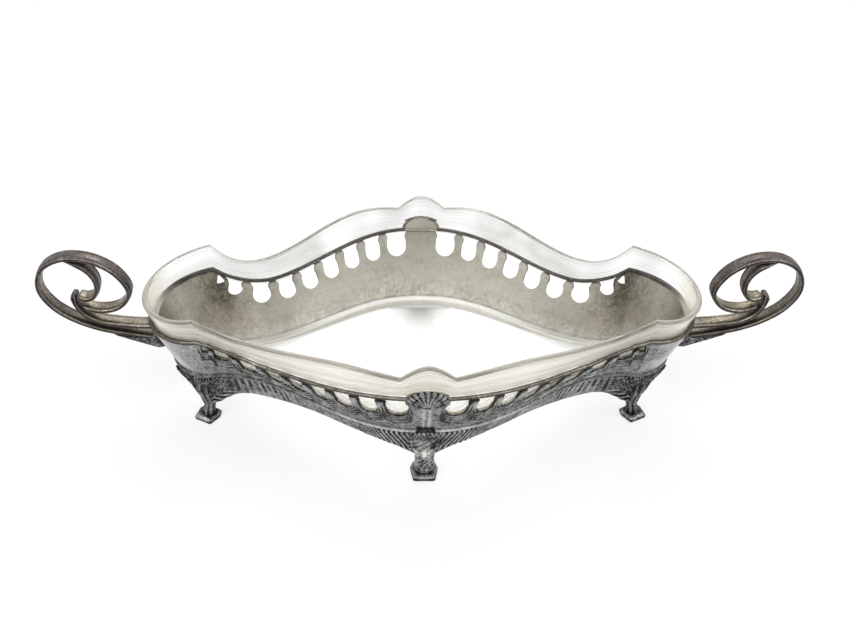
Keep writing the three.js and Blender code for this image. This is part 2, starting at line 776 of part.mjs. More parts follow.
for (const [side, mirrorX] of SIDES) {
  place(`end_wall_${side}`, endWall(), plate, mirrorX);
  place(`end_skirt_${side}`, endSkirt(), patina, mirrorX);
  place(`rim_wire_${side}`, rimWire(), bright, mirrorX);
  place(`ridge_moulding_${side}`, ridgeMoulding(), bright, mirrorX);
  place(`liner_ledge_${side}`, liningLedge(), plate, mirrorX);
  place(`handle_loop_${side}`, strap(LOOP_KNOTS, 36, STRAP_THICKNESS), patina, mirrorX);
  place(`handle_strand_${side}`, strap(STRAND_KNOTS, 16, STRAP_THICKNESS), patina, mirrorX);
  place(`handle_volute_${side}`, strap(VOLUTE_KNOTS, 16, STRAP_THICKNESS), patina, mirrorX);
  place(`handle_root_${side}`, handleRoot(), patina, mirrorX);
}

export default jardiniere;
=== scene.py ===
import bpy
import numpy as np
from mathutils import Matrix, Vector


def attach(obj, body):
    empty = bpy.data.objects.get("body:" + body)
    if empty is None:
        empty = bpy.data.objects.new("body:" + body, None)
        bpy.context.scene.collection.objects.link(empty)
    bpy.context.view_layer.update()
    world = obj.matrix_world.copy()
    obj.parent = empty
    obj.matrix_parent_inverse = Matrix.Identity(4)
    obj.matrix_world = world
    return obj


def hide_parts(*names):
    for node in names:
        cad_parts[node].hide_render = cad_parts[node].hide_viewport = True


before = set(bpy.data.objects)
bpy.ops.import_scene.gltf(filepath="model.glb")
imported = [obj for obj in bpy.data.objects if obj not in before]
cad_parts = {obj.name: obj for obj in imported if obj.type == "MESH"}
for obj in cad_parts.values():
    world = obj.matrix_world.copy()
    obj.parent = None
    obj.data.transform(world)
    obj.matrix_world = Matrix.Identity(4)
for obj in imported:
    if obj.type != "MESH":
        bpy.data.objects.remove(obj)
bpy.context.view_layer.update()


# The gallery
# Two bowed walls of cast white metal, silver-plated and oxidised, pierced by a row of openings
# with round bottoms. The bars between them are stems with hooded buds, modelled on the outside.
MM = 0.001

BOW_HALF_WIDTH = 83.5
BOW_FULLNESS = 1.18
WAIST_X = 125.5
WAIST_HALF_WIDTH = 35.8
CORNER_X = 134.0
CORNER_HALF_WIDTH = 37.0
END_X = 168.0
CORNER_BLEND = 26.0
END_CENTRE_X = (END_X + CORNER_X) / 2 - CORNER_HALF_WIDTH**2 / (2 * (END_X - CORNER_X))
END_RADIUS = END_X - END_CENTRE_X
CORNER_ANGLE = np.arctan2(CORNER_X - END_CENTRE_X, CORNER_HALF_WIDTH)

RIM_MIDDLE_Z = 80.0
RIM_DIP_X = 98.0
RIM_DIP_Z = 68.3
RIM_FALL_POWER = 1.3
RIM_RISE_POWER = 1.6
RIM_CORNER_Z = 81.0
RIM_END_Z = 76.0
RIDGE_Z = 44.0
RIDGE_HEIGHT = 4.0
RIDGE_INSET = 12.0
WALL = 2.0
GAP = 0.3


def fade(value, start, end):
    """A smooth step from 0 at start to 1 at end."""
    t = np.clip((value - start) / (end - start), 0, 1)
    return t * t * (3 - 2 * t)


def bell(value, middle, width):
    """A bell curve: 1 at its middle, and e to minus the square of the distance in widths."""
    return np.exp(-(((value - middle) / width) ** 2))


def squared(wave, power):
    """A sine or cosine wave with its own sign, raised to a power that makes its circle squarer."""
    return np.sign(wave) * np.abs(wave) ** power


def cosine_step(share):
    """Half a cosine wave, from 1 at share 0 to 0 at share 1."""
    return (1 + np.cos(np.pi * np.clip(share, 0, 1))) / 2


def side_half_width(x):
    """Half the rim's width at x: a cosine bow with a power on x, then a straight rise to the
    corner."""
    bow = cosine_step(np.minimum(1, np.abs(x) / WAIST_X) ** BOW_FULLNESS)
    past = np.clip((x - WAIST_X) / (CORNER_X - WAIST_X), 0, None)
    bowed = (BOW_HALF_WIDTH - WAIST_HALF_WIDTH) * bow
    return WAIST_HALF_WIDTH + bowed + (CORNER_HALF_WIDTH - WAIST_HALF_WIDTH) * past


def side_height(x):
    """Height of the metal rim along a side: a cosine fall to the dip, then a power rise."""
    fall = RIM_DIP_Z + (RIM_MIDDLE_Z - RIM_DIP_Z) * cosine_step((x / RIM_DIP_X) ** RIM_FALL_POWER)
    past = np.clip((x - RIM_DIP_X) / (CORNER_X - RIM_DIP_X), 0, 1)
    rise = RIM_DIP_Z + (RIM_CORNER_Z - RIM_DIP_Z) * past**RIM_RISE_POWER
    return np.where(x < RIM_DIP_X, fall, rise)


def quarter_rim():
    """One quarter of the rim as rows of x, y, heading, height and distance, and where its corner
    is. The side is its half width over x. The end is a circle through the corner and the tip, and
    its height falls by a square. The side's heading eases into the end's before the corner."""
    x_side = CORNER_X * np.linspace(0, 1, 2401)
    step = 0.01
    after = side_half_width(x_side + step)
    before = side_half_width(np.maximum(0, x_side - step))
    heading_side = -np.arctan((after - before) / (2 * step))
    heading_side[0] = 0
    share = np.linspace(0, 1, 1201)[1:]
    turn = CORNER_ANGLE + (np.pi / 2 - CORNER_ANGLE) * share
    x = np.concatenate([x_side, END_CENTRE_X + END_RADIUS * np.sin(turn)])
    y = np.concatenate([side_half_width(x_side), END_RADIUS * np.cos(turn)])
    end_height = RIM_END_Z + (RIM_CORNER_Z - RIM_END_Z) * (1 - share) ** 2
    height = np.concatenate([side_height(x_side), end_height])
    distance = np.concatenate([[0], np.cumsum(np.hypot(np.diff(x), np.diff(y)))])
    corner_s = distance[len(x_side) - 1]
    near = np.clip(1 - (corner_s - distance[: len(x_side)]) / CORNER_BLEND, 0, 1)
    heading_side += (CORNER_ANGLE - heading_side) * near
    heading = np.concatenate([heading_side, turn])
    return np.array([x, y, heading, height, distance]), corner_s


QUARTER, CORNER_S = quarter_rim()
TIP_S = QUARTER[4, -1]
LOOP = 4 * TIP_S


def rim_at(s):
    """The rim at distance s from the middle of the back, turning right: place, outward direction,
    height and distance along its quarter. It goes round the whole object, by mirroring one
    quarter in x and y."""
    turned = (np.asarray(s, float) + LOOP / 2) % LOOP - LOOP / 2
    sign_x = np.where(turned < 0, -1.0, 1.0)
    past = np.abs(turned) > TIP_S
    sign_y = np.where(past, -1.0, 1.0)
    along = np.where(past, 2 * TIP_S - np.abs(turned), np.abs(turned))
    x, y, heading, height = [np.interp(along, QUARTER[4], row) for row in QUARTER[:4]]
    place = {"x": sign_x * x, "y": sign_y * y, "z": height, "along": along}
    return {**place, "nx": sign_x * np.sin(heading), "ny": sign_y * np.cos(heading)}


def beside(s, offset, z):
    """Points at height z and at an outward offset from the rim's plan at distance s."""
    rim = rim_at(s)
    x = rim["x"] + rim["nx"] * offset
    y = rim["y"] + rim["ny"] * offset
    return np.stack(np.broadcast_arrays(x, y, z), axis=-1)


def wall_offset(s, z):
    """How far a wall leans out at height z: straight from the ridge up to the rim."""
    top = rim_at(s)["z"]
    return -RIDGE_INSET * (top - z) / (top - RIDGE_Z)


def grid_faces(rows, columns, close_rows=False, close_columns=False):
    """Four-sided faces of a grid of rows and columns, closed round in either way when asked."""
    r = np.arange(rows if close_rows else rows - 1)
    c = np.arange(columns if close_columns else columns - 1)
    r, c = [a.ravel() for a in np.meshgrid(r, c, indexing="ij")]
    r2 = (r + 1) % rows
    c2 = (c + 1) % columns
    corners = [r * columns + c, r * columns + c2, r2 * columns + c2, r2 * columns + c]
    return np.stack(corners, axis=1)


def make_sheet(front, back, wear_and_painted_light, back_wear_and_painted_light):
    """A sheet from the grids of points and of wear and painted light on its front and back. It
    faces the front.
    """
    return {
        "front": front.reshape(-1, 3),
        "back": back.reshape(-1, 3),
        "wear_and_painted_light": np.clip(wear_and_painted_light, 0, 1).ravel(),
        "back_wear_and_painted_light": back_wear_and_painted_light.ravel(),
        "faces": grid_faces(*wear_and_painted_light.shape)[:, ::-1],
    }


def joined(*sheets):
    """Several sheets as one."""
    counts = np.cumsum([0] + [len(sheet["front"]) for sheet in sheets])
    keys = ("front", "back", "wear_and_painted_light", "back_wear_and_painted_light")
    whole = {key: np.concatenate([sheet[key] for sheet in sheets]) for key in keys}
    whole["faces"] = np.concatenate([s["faces"] + n for s, n in zip(sheets, counts)])
    return whole


def mirrored(sheet, sign_x, sign_y):
    """The sheet on the other side, with its faces turned round where one sign is negative."""
    signs = np.array([sign_x, sign_y, 1.0])
    turned = {"front": sheet["front"] * signs, "back": sheet["back"] * signs}
    return {**sheet, **turned, "faces": sheet["faces"][:, :: sign_x * sign_y]}


def closed(sheet):
    """The shape of a sheet whose equal front points are merged, with its back behind it and a
    strip of faces round every open edge. A shape is points, faces, caps, wear with painted light,
    and inside mark."""
    keys = np.round(sheet["front"] / 0.002).astype(np.int64)
    _, first, merged = np.unique(keys, axis=0, return_index=True, return_inverse=True)
    faces = merged.ravel()[sheet["faces"]]
    count = len(first)
    start = faces.ravel()
    end = np.roll(faces, -1, axis=1).ravel()
    open_edge = ~np.isin(start * count + end, end * count + start)
    a, b = start[open_edge], end[open_edge]
    strip = np.stack([b, a, a + count, b + count], axis=1)
    points = np.concatenate([sheet["front"][first], sheet["back"][first]])
    wear_and_painted_light = np.concatenate([sheet["wear_and_painted_light"][first], sheet["back_wear_and_painted_light"][first]])
    inside = np.repeat([0.0, 1.0], count)
    return points, np.concatenate([faces, faces[:, ::-1] + count, strip]), [], wear_and_painted_light, inside


def add_object(name, data):
    """A new object in the scene, made of this data."""
    made = bpy.data.objects.new(name, data)
    bpy.context.scene.collection.objects.link(made)
    return made


def make_piece(name, points, faces, caps, wear_and_painted_light, inside, sharp=35):
    """A smooth mesh in metres from points in millimetres, with its wear and painted light and its
    inside marks kept as attributes. Edges bent by more than the sharp angle stay crisp."""
    mesh = bpy.data.meshes.new(name)
    polygons = faces.tolist() + [[int(i) for i in cap] for cap in caps]
    mesh.from_pydata((points * MM).tolist(), [], polygons)
    for label, values in (("wear_and_painted_light", wear_and_painted_light), ("inside", inside)):
        attribute = mesh.attributes.new(label, "FLOAT", "POINT")
        attribute.data.foreach_set("value", np.asarray(values, np.float32))
    mesh.polygons.foreach_set("use_smooth", np.ones(len(mesh.polygons), bool))
    mesh.set_sharp_from_angle(angle=np.radians(sharp))
    return add_object(name, mesh)


def finish_piece(piece, material, slot, body, *nodes):
    """Gives a piece its material, and lets it ride on its body in place of its solids. Its slot is
    not used.
    """
    piece.data.materials.append(material)
    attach(piece, body)
    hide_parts(*nodes)


def linear(hex_colour):
    """An sRGB hex colour as linear red, green, blue and alpha."""
    channels = [int(hex_colour[i : i + 2], 16) / 255 for i in (1, 3, 5)]
    return [c / 12.92 if c <= 0.04045 else ((c + 0.055) / 1.055) ** 2.4 for c in channels] + [1.0]


def fill(tree, node, sockets):
    """Gives each named socket of a node a value or a link. A node stands for its first output."""
    for key, value in sockets.items():
        value = value.outputs[0] if isinstance(value, bpy.types.Node) else value
        if isinstance(value, bpy.types.NodeSocket):
            tree.links.new(value, node.inputs[key])
        else:
            node.inputs[key].default_value = value


def add(tree, kind, sockets=None, steps=None, **settings):
    """Adds a node, sets its own settings, and fills its sockets and the colours of its ramp."""
    made = tree.nodes.new(kind)
    for key, value in settings.items():
        setattr(made, key, value)
    fill(tree, made, sockets or {})
    if steps:
        elements = made.color_ramp.elements
        while len(elements) < len(steps):
            elements.new(0.5)
        for element, (place, colour) in zip(elements, steps.items()):
            element.position = place
            element.color = linear(colour)
    return made


def new_material(name):
    """A new material, its node tree and its main shader."""
    material = bpy.data.materials.new(name)
    material.use_nodes = True
    tree = material.node_tree
    return material, tree, tree.nodes["Principled BSDF"]


def silver_plate(name, outside, inner, rough=0.4, spots_mm=2.2, depth_mm=0.12):
    """Old silver plate on cast white metal. Oxide stays black in the low places, the plate is grey
    where it is sheltered and rubbed light on the high places, and handling mottles it. Painted
    highlights and painted shade come in through the same values. Each set of colours runs from
    low to high. The inside of a wall has its own, flatter and warmer."""
    mottle_mm = 8.0
    grain_mm = 0.8
    material, tree, shader = new_material(name)
    place = add(tree, "ShaderNodeTexCoord").outputs["Object"]
    height = add(tree, "ShaderNodeAttribute", attribute_name="wear_and_painted_light").outputs["Fac"]
    inside = add(tree, "ShaderNodeAttribute", attribute_name="inside").outputs["Fac"]
    layers = ((mottle_mm, 4.0, 0.6), (spots_mm, 3.0, 0.7), (grain_mm, 2.0, 0.6))
    for size_mm, detail, amount in layers:
        sockets = {"Vector": place, "Scale": 1 / (size_mm * MM), "Detail": detail}
        noise = add(tree, "ShaderNodeTexNoise", sockets)
        centred = add(tree, "ShaderNodeMath", {0: noise, 1: 0.5}, operation="SUBTRACT")
        shares = {0: centred, 1: amount, 2: height}
        height = add(tree, "ShaderNodeMath", shares, operation="MULTIPLY_ADD")
    outer_colour = add(tree, "ShaderNodeValToRGB", {"Fac": height}, outside)
    inner_colour = add(tree, "ShaderNodeValToRGB", {"Fac": height}, inner)
    sides = {0: inside, 6: outer_colour, 7: inner_colour}
    colour = add(tree, "ShaderNodeMix", sides, data_type="RGBA").outputs[2]
    gloss_sockets = {"Value": height, "To Min": rough + 0.18, "To Max": rough - 0.1}
    gloss = add(tree, "ShaderNodeMapRange", gloss_sockets)
    bump_sockets = {"Height": noise, "Strength": 0.5, "Distance": depth_mm * MM}
    bump = add(tree, "ShaderNodeBump", bump_sockets)
    looks = {"Base Color": colour, "Roughness": gloss, "Normal": bump, "Metallic": 1.0}
    fill(tree, shader, looks)
    return material


OPENING_COUNT = 7
OPENING_FIRST = 18.9
OPENING_PITCH = 16.3
OPENING_WIDTH = 11.0
FIRST_OPENING_WIDER = 2.8
OPENING_DEPTH = 17.0
OPENING_LAST_DEPTH = 13.0
LIP_DROP = 2.0
SMALL_WIDTH = 9.0
SMALL_DEPTH = 10.0
TRIANGLE_INRADIUS = 2.1
TRIANGLE_DOWN = 4.8
TRIANGLE_SIDES = (-95, 10, 140)
BUD_DOWN = 3.2
STEM_HALF_WIDTH = 3.2
STEM_STANDS = 1.2
REED_PITCH = 1.7
HOOD_DOWN = 5.0
HOOD_HALF_WIDTH = 2.6
HOOD_HALF_HEIGHT = 3.0
HOOD_STANDS = 1.0
OUTLINE_DEPTH = 0.6
EDGE_ROUND_WIDTH = 0.9
EDGE_ROUND_DEPTH = 0.8
RING_DEPTH = 0.6
CREST_STANDS = 0.35
RING_PLACES = (1.9, 4.1, 6.3, 8.5)
CREST_PLACES = (0.9, 3.0, 5.2, 7.4)
FOLD_S = 1.6
FOLD_RISE = 0.6
RECESS_WIDTH = 11.4
RECESS_RISE = 2.4
RECESS_DEPTH = 0.8
RECESS_WEAR = 0.14
FAR_FROM_EDGE = 9.0
WALL_TOP = 1.3
WALL_LOW_Z = RIDGE_Z + RIDGE_HEIGHT / 2 + GAP
STRAIGHT = 16
SIDE = 7
BOTTOM = 12
ACROSS = 34


def border(s, split):
    """Heights down a cell's border at s: from the wall's top to the split, then to its foot."""
    top = rim_at(s)["z"] - WALL_TOP
    upper = top + (split - top) * np.linspace(0, 1, STRAIGHT + 1)
    return np.concatenate([upper, np.linspace(split, WALL_LOW_Z, SIDE + 1)[1:]])


def opening_edge(centre, width, depth, bud):
    """The edge of an opening: down beside a bud and its stem, round a half circle and up again. It
    is widest at the very top, where the buds round off, and narrowest beside them."""
    radius = width / 2
    middle_z = float(rim_at(centre)["z"]) - (depth - radius)
    down = np.linspace(0, 1, STRAIGHT + 1)
    below = (float(rim_at(centre)["z"]) - WALL_TOP - middle_z) * down
    half = radius - bud * bell(below, BUD_DOWN, 1.8) + np.clip(1 - below / 1.7, 0, 1) ** 2
    top_left = rim_at(centre - half)["z"] - WALL_TOP
    top_right = rim_at(centre + half)["z"] - WALL_TOP
    z_left = top_left + (middle_z - top_left) * down
    z_right = top_right + (middle_z - top_right) * down
    low = np.radians(40)
    arcs = [
        np.linspace(np.pi, np.pi - low, SIDE + 1)[1:],
        np.linspace(np.pi - low, low, BOTTOM + 1)[1:],
        np.linspace(low, 0, SIDE + 1)[1:],
    ]
    arc = np.concatenate(arcs)
    s = np.concatenate([centre - half, centre + radius * np.cos(arc), (centre + half)[-2::-1]])
    z = np.concatenate([z_left, middle_z - radius * np.sin(arc), z_right[-2::-1]])
    return s, z


def fan_out(edge, cell, columns):
    """A grid from an opening's edge to its cell's borders, finer near the edge: distances along
    the rim, heights, and how far each point is from the edge."""
    share = np.linspace(0, 1, columns)[None, :] ** 1.35
    s, z = [e[:, None] + (c - e)[:, None] * share for e, c in zip(edge, cell)]
    return s, z, np.hypot(s - s[:, :1], z - z[:, :1])


def cell_sheet(front_edge, back_edge, cell, sides, middle_z, stems):
    """The wall round an opening, as a grid that fans out from its edge to its cell's borders. The
    front leans and carries the relief: rounded stems with hooded buds on the borders, a lip round
    the opening, and arcs engraved below it. Low places are dark, and painted shade darkens the
    front along the opening's edge. The back's first column lies on the edge's thickness, which is
    painted dark as shade and turns to the lighter tone of the inside."""
    s, z, edge = fan_out(front_edge, cell, ACROSS)
    back_s, back_z, back_distance = fan_out(back_edge, cell, ACROSS - 1)
    below = fade(middle_z - z, -2.0, 3.0) * (1 - 0.3 * np.sin(0.9 * s))
    rings = sum(bell(edge, at, 0.6) for at in RING_PLACES)
    crests = sum(bell(edge, at, 0.5) for at in CREST_PLACES)
    round_over = (1 - np.clip(edge / EDGE_ROUND_WIDTH, 0, 1)) ** 2
    depth = rim_at(s)["z"] - z
    stem, outline, bud = np.zeros((3, *s.shape))
    for at, stands in zip(sides, stems):
        away = np.abs(s - at)
        upper = stands * fade(z, middle_z - 7, middle_z + 2)
        reeds = 0.5 + 0.5 * np.cos(2 * np.pi * away / REED_PITCH)
        stem += upper * np.clip(1 - (away / STEM_HALF_WIDTH) ** 2, 0, 1) * (0.4 + 0.6 * reeds)
        hood = np.hypot(away / HOOD_HALF_WIDTH, (depth - HOOD_DOWN) / HOOD_HALF_HEIGHT)
        bud += stands * np.clip(1 - hood**2, 0, 1)
        outline += stands * bell(hood, 1.05, 0.22) * fade(-depth, -7.5, -5.0)
    relief = STEM_STANDS * stem + HOOD_STANDS * bud - OUTLINE_DEPTH * outline
    relief -= EDGE_ROUND_DEPTH * round_over
    relief += below * (CREST_STANDS * crests - RING_DEPTH * rings)
    wear_and_painted_light = 0.34 + 0.3 * stem - 0.7 * outline + below * (0.26 * crests - 0.55 * rings)
    # Painted shade: the front is darkened along the opening's edge.
    wear_and_painted_light -= 0.6 * (1 - np.clip(edge / 0.8, 0, 1))
    wear_and_painted_light += 0.3 * fade(WALL_LOW_Z + 3.0 - z, 0, 3.0)
    offset = wall_offset(s, z)
    turned_edge = beside(s[:, :1], offset[:, :1] - 0.4 * WALL, z[:, :1])
    back = beside(back_s, wall_offset(back_s, back_z) - WALL, back_z)
    back_wear_and_painted_light = inner_wear_and_shade(back_s, rim_at(back_s)["z"] - back_z, back_distance)
    # Painted shade: the edge's thickness starts dark and turns to the inside's tone.
    back_wear_and_painted_light = np.concatenate([0.25 * back_wear_and_painted_light[:, :1], back_wear_and_painted_light], axis=1)
    back = np.concatenate([turned_edge, back], axis=1)
    sheet = make_sheet(beside(s, offset + relief, z), back, wear_and_painted_light, back_wear_and_painted_light)
    return {**sheet, "faces": grid_faces(*s.shape)}


def opening_cell(centre, left, right, width, depth, split_left, split_right, stems):
    """The wall round one opening. Outside, the edge is cut lower and the buds stand over it."""
    back_edge = opening_edge(centre, width, depth, 0.3)
    front_edge = opening_edge(centre, width - 0.2, depth + LIP_DROP, 0.8)
    foot_s = np.linspace(left, right, BOTTOM + 1)[1:]
    rim_left = np.full(STRAIGHT + SIDE + 1, left)
    rim_right = np.full(STRAIGHT + SIDE, right)
    cell_s = np.concatenate([rim_left, foot_s, rim_right])
    z_border_left = border(left, split_left)
    z_border_right = border(right, split_right)[-2::-1]
    cell_z = np.concatenate([z_border_left, np.full(BOTTOM, WALL_LOW_Z), z_border_right])
    middle_z = float(rim_at(centre)["z"]) - (depth - width / 2)
    return cell_sheet(front_edge, back_edge, (cell_s, cell_z), (left, right), middle_z, stems)


def inner_wear_and_shade(s, depth, edge):
    """Wear of the walls' inside: even, darker towards the ends, with a dark smudge in each corner
    that has a darker core and fades downwards, and a thin dark line of painted shade round each
    opening."""
    core = 0.5 * bell(s, CORNER_S - 7, 5) * fade(depth, 4, 10)
    smudge = (bell(s, CORNER_S - 3, 12) + core) * (1 - fade(depth, 10, 38))
    # Painted shade in a thin line round each opening.
    line = (1 - np.clip(edge / 0.7, 0, 1)) ** 2
    end = 0.14 * fade(s, CORNER_S - 50, CORNER_S + 6)
    return np.clip(0.72 - end - 0.36 * smudge - 0.3 * line, 0, 1)


def middle_panel(right, split):
    """The plain panel under the shell, from the middle to the first opening's cell, with a soft
    upright fold at the middle, painted lighter along it as a highlight, and a recess at its foot."""
    s = np.linspace(0, right, 12)[None, :] * np.ones((STRAIGHT + SIDE + 1, 1))
    z = np.stack([border(at, split) for at in s[0]], axis=1)
    fold_and_highlight = bell(s, FOLD_S, 0.9)
    recess = fade(RECESS_WIDTH / 2 - s, -0.5, 0.5) * fade(WALL_LOW_Z + RECESS_RISE - z, -0.4, 0.4)
    # Painted highlight along the middle fold.
    wear_and_painted_light = 0.4 + 0.3 * fold_and_highlight + 0.3 * fade(WALL_LOW_Z + 3 - z, 0, 3)
    wear_and_painted_light += (RECESS_WEAR - wear_and_painted_light) * recess
    offset = wall_offset(s, z)
    front = beside(s, offset + FOLD_RISE * fold_and_highlight - RECESS_DEPTH * recess, z)
    back_wear_and_painted_light = inner_wear_and_shade(s, 0 * s, FAR_FROM_EDGE + 0 * s)
    return make_sheet(front, beside(s, offset - WALL, z), wear_and_painted_light, back_wear_and_painted_light)


def corner_cell(left, right, split_left, split_right):
    """The wall round the little three-sided opening next to the corner, as a closed ring of grid
    columns from the opening's edge out to the four borders."""
    centre = (left + right) / 2 - 1.0
    hole_z = float(rim_at(centre)["z"]) - TRIANGLE_DOWN
    top = 8
    down_left = border(left, split_left)
    up_right = border(right, split_right)[::-1]
    foot_s = np.linspace(left, right, BOTTOM + 1)[1:-1]
    top_s = np.linspace(right, left, top + 1)[1:-1]
    left_s = np.full(len(down_left), left)
    right_s = np.full(len(up_right), right)
    cell_s = np.concatenate([left_s, foot_s, right_s, top_s])
    foot_z = np.full(BOTTOM - 1, WALL_LOW_Z)
    cell_z = np.concatenate([down_left, foot_z, up_right, rim_at(top_s)["z"] - WALL_TOP])
    angle = np.arctan2(cell_z - hole_z, cell_s - centre)
    sides = np.radians(TRIANGLE_SIDES)
    facing = np.max(np.cos(angle[:, None] - sides[None, :]), axis=1)
    reach = TRIANGLE_INRADIUS / np.maximum(facing, 0.55)
    edge = (centre + reach * np.cos(angle), hole_z + reach * np.sin(angle))
    sheet = cell_sheet(edge, edge, (cell_s, cell_z), (left, right), hole_z, (1.0, 0.0))
    return {**sheet, "faces": grid_faces(len(cell_s), ACROSS, close_rows=True)}


def gallery_quarter():
    """Panel, seven openings, a small one and a three-sided one, from the middle to the corner."""
    numbers = np.arange(OPENING_COUNT)
    bar = OPENING_PITCH - OPENING_WIDTH
    shares = numbers / (OPENING_COUNT - 1)
    depths = list(OPENING_DEPTH + (OPENING_LAST_DEPTH - OPENING_DEPTH) * shares)
    widths = [OPENING_WIDTH + FIRST_OPENING_WIDER] + [OPENING_WIDTH] * (OPENING_COUNT - 1)
    outer_edges = list(OPENING_FIRST + OPENING_PITCH * numbers + OPENING_WIDTH / 2)
    outer_edges.append(outer_edges[-1] + bar + SMALL_WIDTH)
    widths.append(SMALL_WIDTH)
    depths.append(SMALL_DEPTH)
    centres = [edge - width / 2 for edge, width in zip(outer_edges, widths)]
    borders = [outer_edges[0] - widths[0] - bar / 2]
    borders += [edge + bar / 2 for edge in outer_edges[:-1]]
    borders.append(outer_edges[-1] + 1.6)
    middles = [float(rim_at(c)["z"]) - (d - w / 2) for c, d, w in zip(centres, depths, widths)]
    splits = [middles[0]] + [(a + b) / 2 for a, b in zip(middles, middles[1:])] + [middles[-1]]
    sheets = [middle_panel(borders[0], splits[0])]
    for i, centre in enumerate(centres):
        stems = (0.0 if i == 0 else 1.0, 1.0)
        cell = (centre, borders[i], borders[i + 1], widths[i], depths[i])
        sheets.append(opening_cell(*cell, splits[i], splits[i + 1], stems))
    sheets.append(corner_cell(borders[-1], CORNER_S, splits[-1], splits[-1]))
    return joined(*sheets)


WALL_OUTSIDE = {0.0: "#202122", 0.2: "#555657", 0.42: "#929391", 0.7: "#bbbbb8", 1.0: "#dcdbd7"}
WALL_INSIDE = {0.0: "#4c473f", 0.25: "#9b9486", 0.48: "#c2bbad", 0.68: "#d5d1c6", 1.0: "#e0ddd5"}
gallery_plate = silver_plate("oxidised silver plate of the gallery", WALL_OUTSIDE, WALL_INSIDE)

quarter = gallery_quarter()
half = joined(quarter, mirrored(quarter, -1, 1))
for face, sign in (("back", 1), ("front", -1)):
    gallery = make_piece(f"gallery_{face}_wall", *closed(mirrored(half, 1, sign)))
    nodes = [f"gallery_{face}_{side}" for side in ("right", "left")]
    finish_piece(gallery, gallery_plate, "plate", "frame", *nodes)


# The end walls
# The plain rounded walls of the two ends, cast and planished smooth, then plated with the
# gallery. The plate is rubbed light outside, and dark smudges lie inside next to the corners.
def end_wall():
    """The leaning wall as a grid from corner to corner. It gets lighter away from the gallery."""
    s = np.linspace(CORNER_S, 2 * TIP_S - CORNER_S, 121)[None, :] * np.ones((25, 1))
    share = np.linspace(0, 1, 25)[:, None]
    depth = WALL_TOP + (rim_at(s)["z"] - WALL_TOP - WALL_LOW_Z) * share
    z = rim_at(s)["z"] - depth
    offset = wall_offset(s, z)
    from_corner = np.minimum(s - CORNER_S, 2 * TIP_S - CORNER_S - s)
    wear_and_painted_light = 0.42 + 0.3 * fade(from_corner, 3, 26) + 0.12 * fade(share, 0.5, 1.0)
    back_wear_and_painted_light = inner_wear_and_shade(CORNER_S + from_corner, depth, FAR_FROM_EDGE + 0 * s)
    return make_sheet(beside(s, offset, z), beside(s, offset - WALL, z), wear_and_painted_light, back_wear_and_painted_light)


wall_sheet = end_wall()
for side, sign in (("right", 1), ("left", -1)):
    wall = make_piece(f"end_wall_{side}_plate", *closed(mirrored(wall_sheet, sign, 1)))
    finish_piece(wall, gallery_plate, "plate", "frame", f"end_wall_{side}")


# The rim wire
# One drawn wire, soldered along the top of all the walls and plated with them. Its top is dull
# and dark, with a thin painted highlight on its outer top and painted light on its inner side.
# Behind the shells it is painted as light as the walls.
WIRE_RADIUS = 1.3
WIRE_HALF_HEIGHT = 1.1
WIRE_SIDES = 14
SHELL_COVER = 10.0


def swept(s, section):
    """Points and faces of a section carried round the rim. The section gives offsets and heights
    for an array of distances, one column for each of its points."""
    offsets, heights = section(s[:, None])
    points = beside(s[:, None], offsets, heights)
    return points.reshape(-1, 3), grid_faces(*points.shape[:2], True, True)[:, ::-1]


def from_middle(s):
    """The distance along the rim from the nearer middle of a long side."""
    return np.abs((s + TIP_S) % (2 * TIP_S) - TIP_S)


def behind_shell(s):
    """1 where a shell ornament is in front of the rim, and 0 elsewhere."""
    return 1 - fade(from_middle(s), SHELL_COVER, SHELL_COVER + 2)


def wire_section(s):
    """A slightly flattened circle just inside the rim's plan. Behind a shell it is squared off,
    and flush with the wall."""
    angle = np.linspace(0, 2 * np.pi, WIRE_SIDES, endpoint=False)[None, :]
    power = 1 - 0.75 * behind_shell(s)
    across = squared(np.cos(angle), power)
    up = squared(np.sin(angle), power)
    offsets = -WALL / 2 + (WIRE_RADIUS - 0.35 * behind_shell(s)) * across
    return offsets, rim_at(s)["z"] + WIRE_HALF_HEIGHT * up


WIRE_TONES = {0.0: "#242220", 0.4: "#57524d", 0.7: "#7f7973", 1.0: "#b5b0a9"}
# Tones rising to near white, painted light, for the wire and shell backs seen through the glass.
UNDER_GLASS_PAINTED_LIGHT = {0.0: "#4c473f", 0.45: "#b9b2a4", 0.85: "#fff9ea"}
wire_plate = silver_plate("dull silver plate of the rim", WIRE_TONES, UNDER_GLASS_PAINTED_LIGHT, rough=0.36)
turns = (0, CORNER_S, 2 * TIP_S - CORNER_S, 2 * TIP_S)
stretches = zip(turns, turns[1:], (150, 120, 150))
half_round = [np.linspace(start, end, count, endpoint=False) for start, end, count in stretches]
around = np.concatenate(half_round + [stretch + 2 * TIP_S for stretch in half_round])
number = np.arange(WIRE_SIDES)
# Painted highlight on the outer top of the section, and painted light on its inner side.
ring_highlights = 0.34 + 0.3 * bell(number, 2.3, 1.1) + 0.4 * bell(number, 7.8, 1.2)
wire_inside = np.repeat(behind_shell(around), WIRE_SIDES)
# Behind the shells the wire gets painted light.
wire_tone_and_painted_light = np.tile(ring_highlights, len(around)) + 0.4 * wire_inside
wire_mesh = swept(around, wire_section)
wire = make_piece("rim_wire_all_round", *wire_mesh, [], wire_tone_and_painted_light, wire_inside)
finish_piece(wire, wire_plate, "bright", "frame", "rim_wire_right", "rim_wire_left")


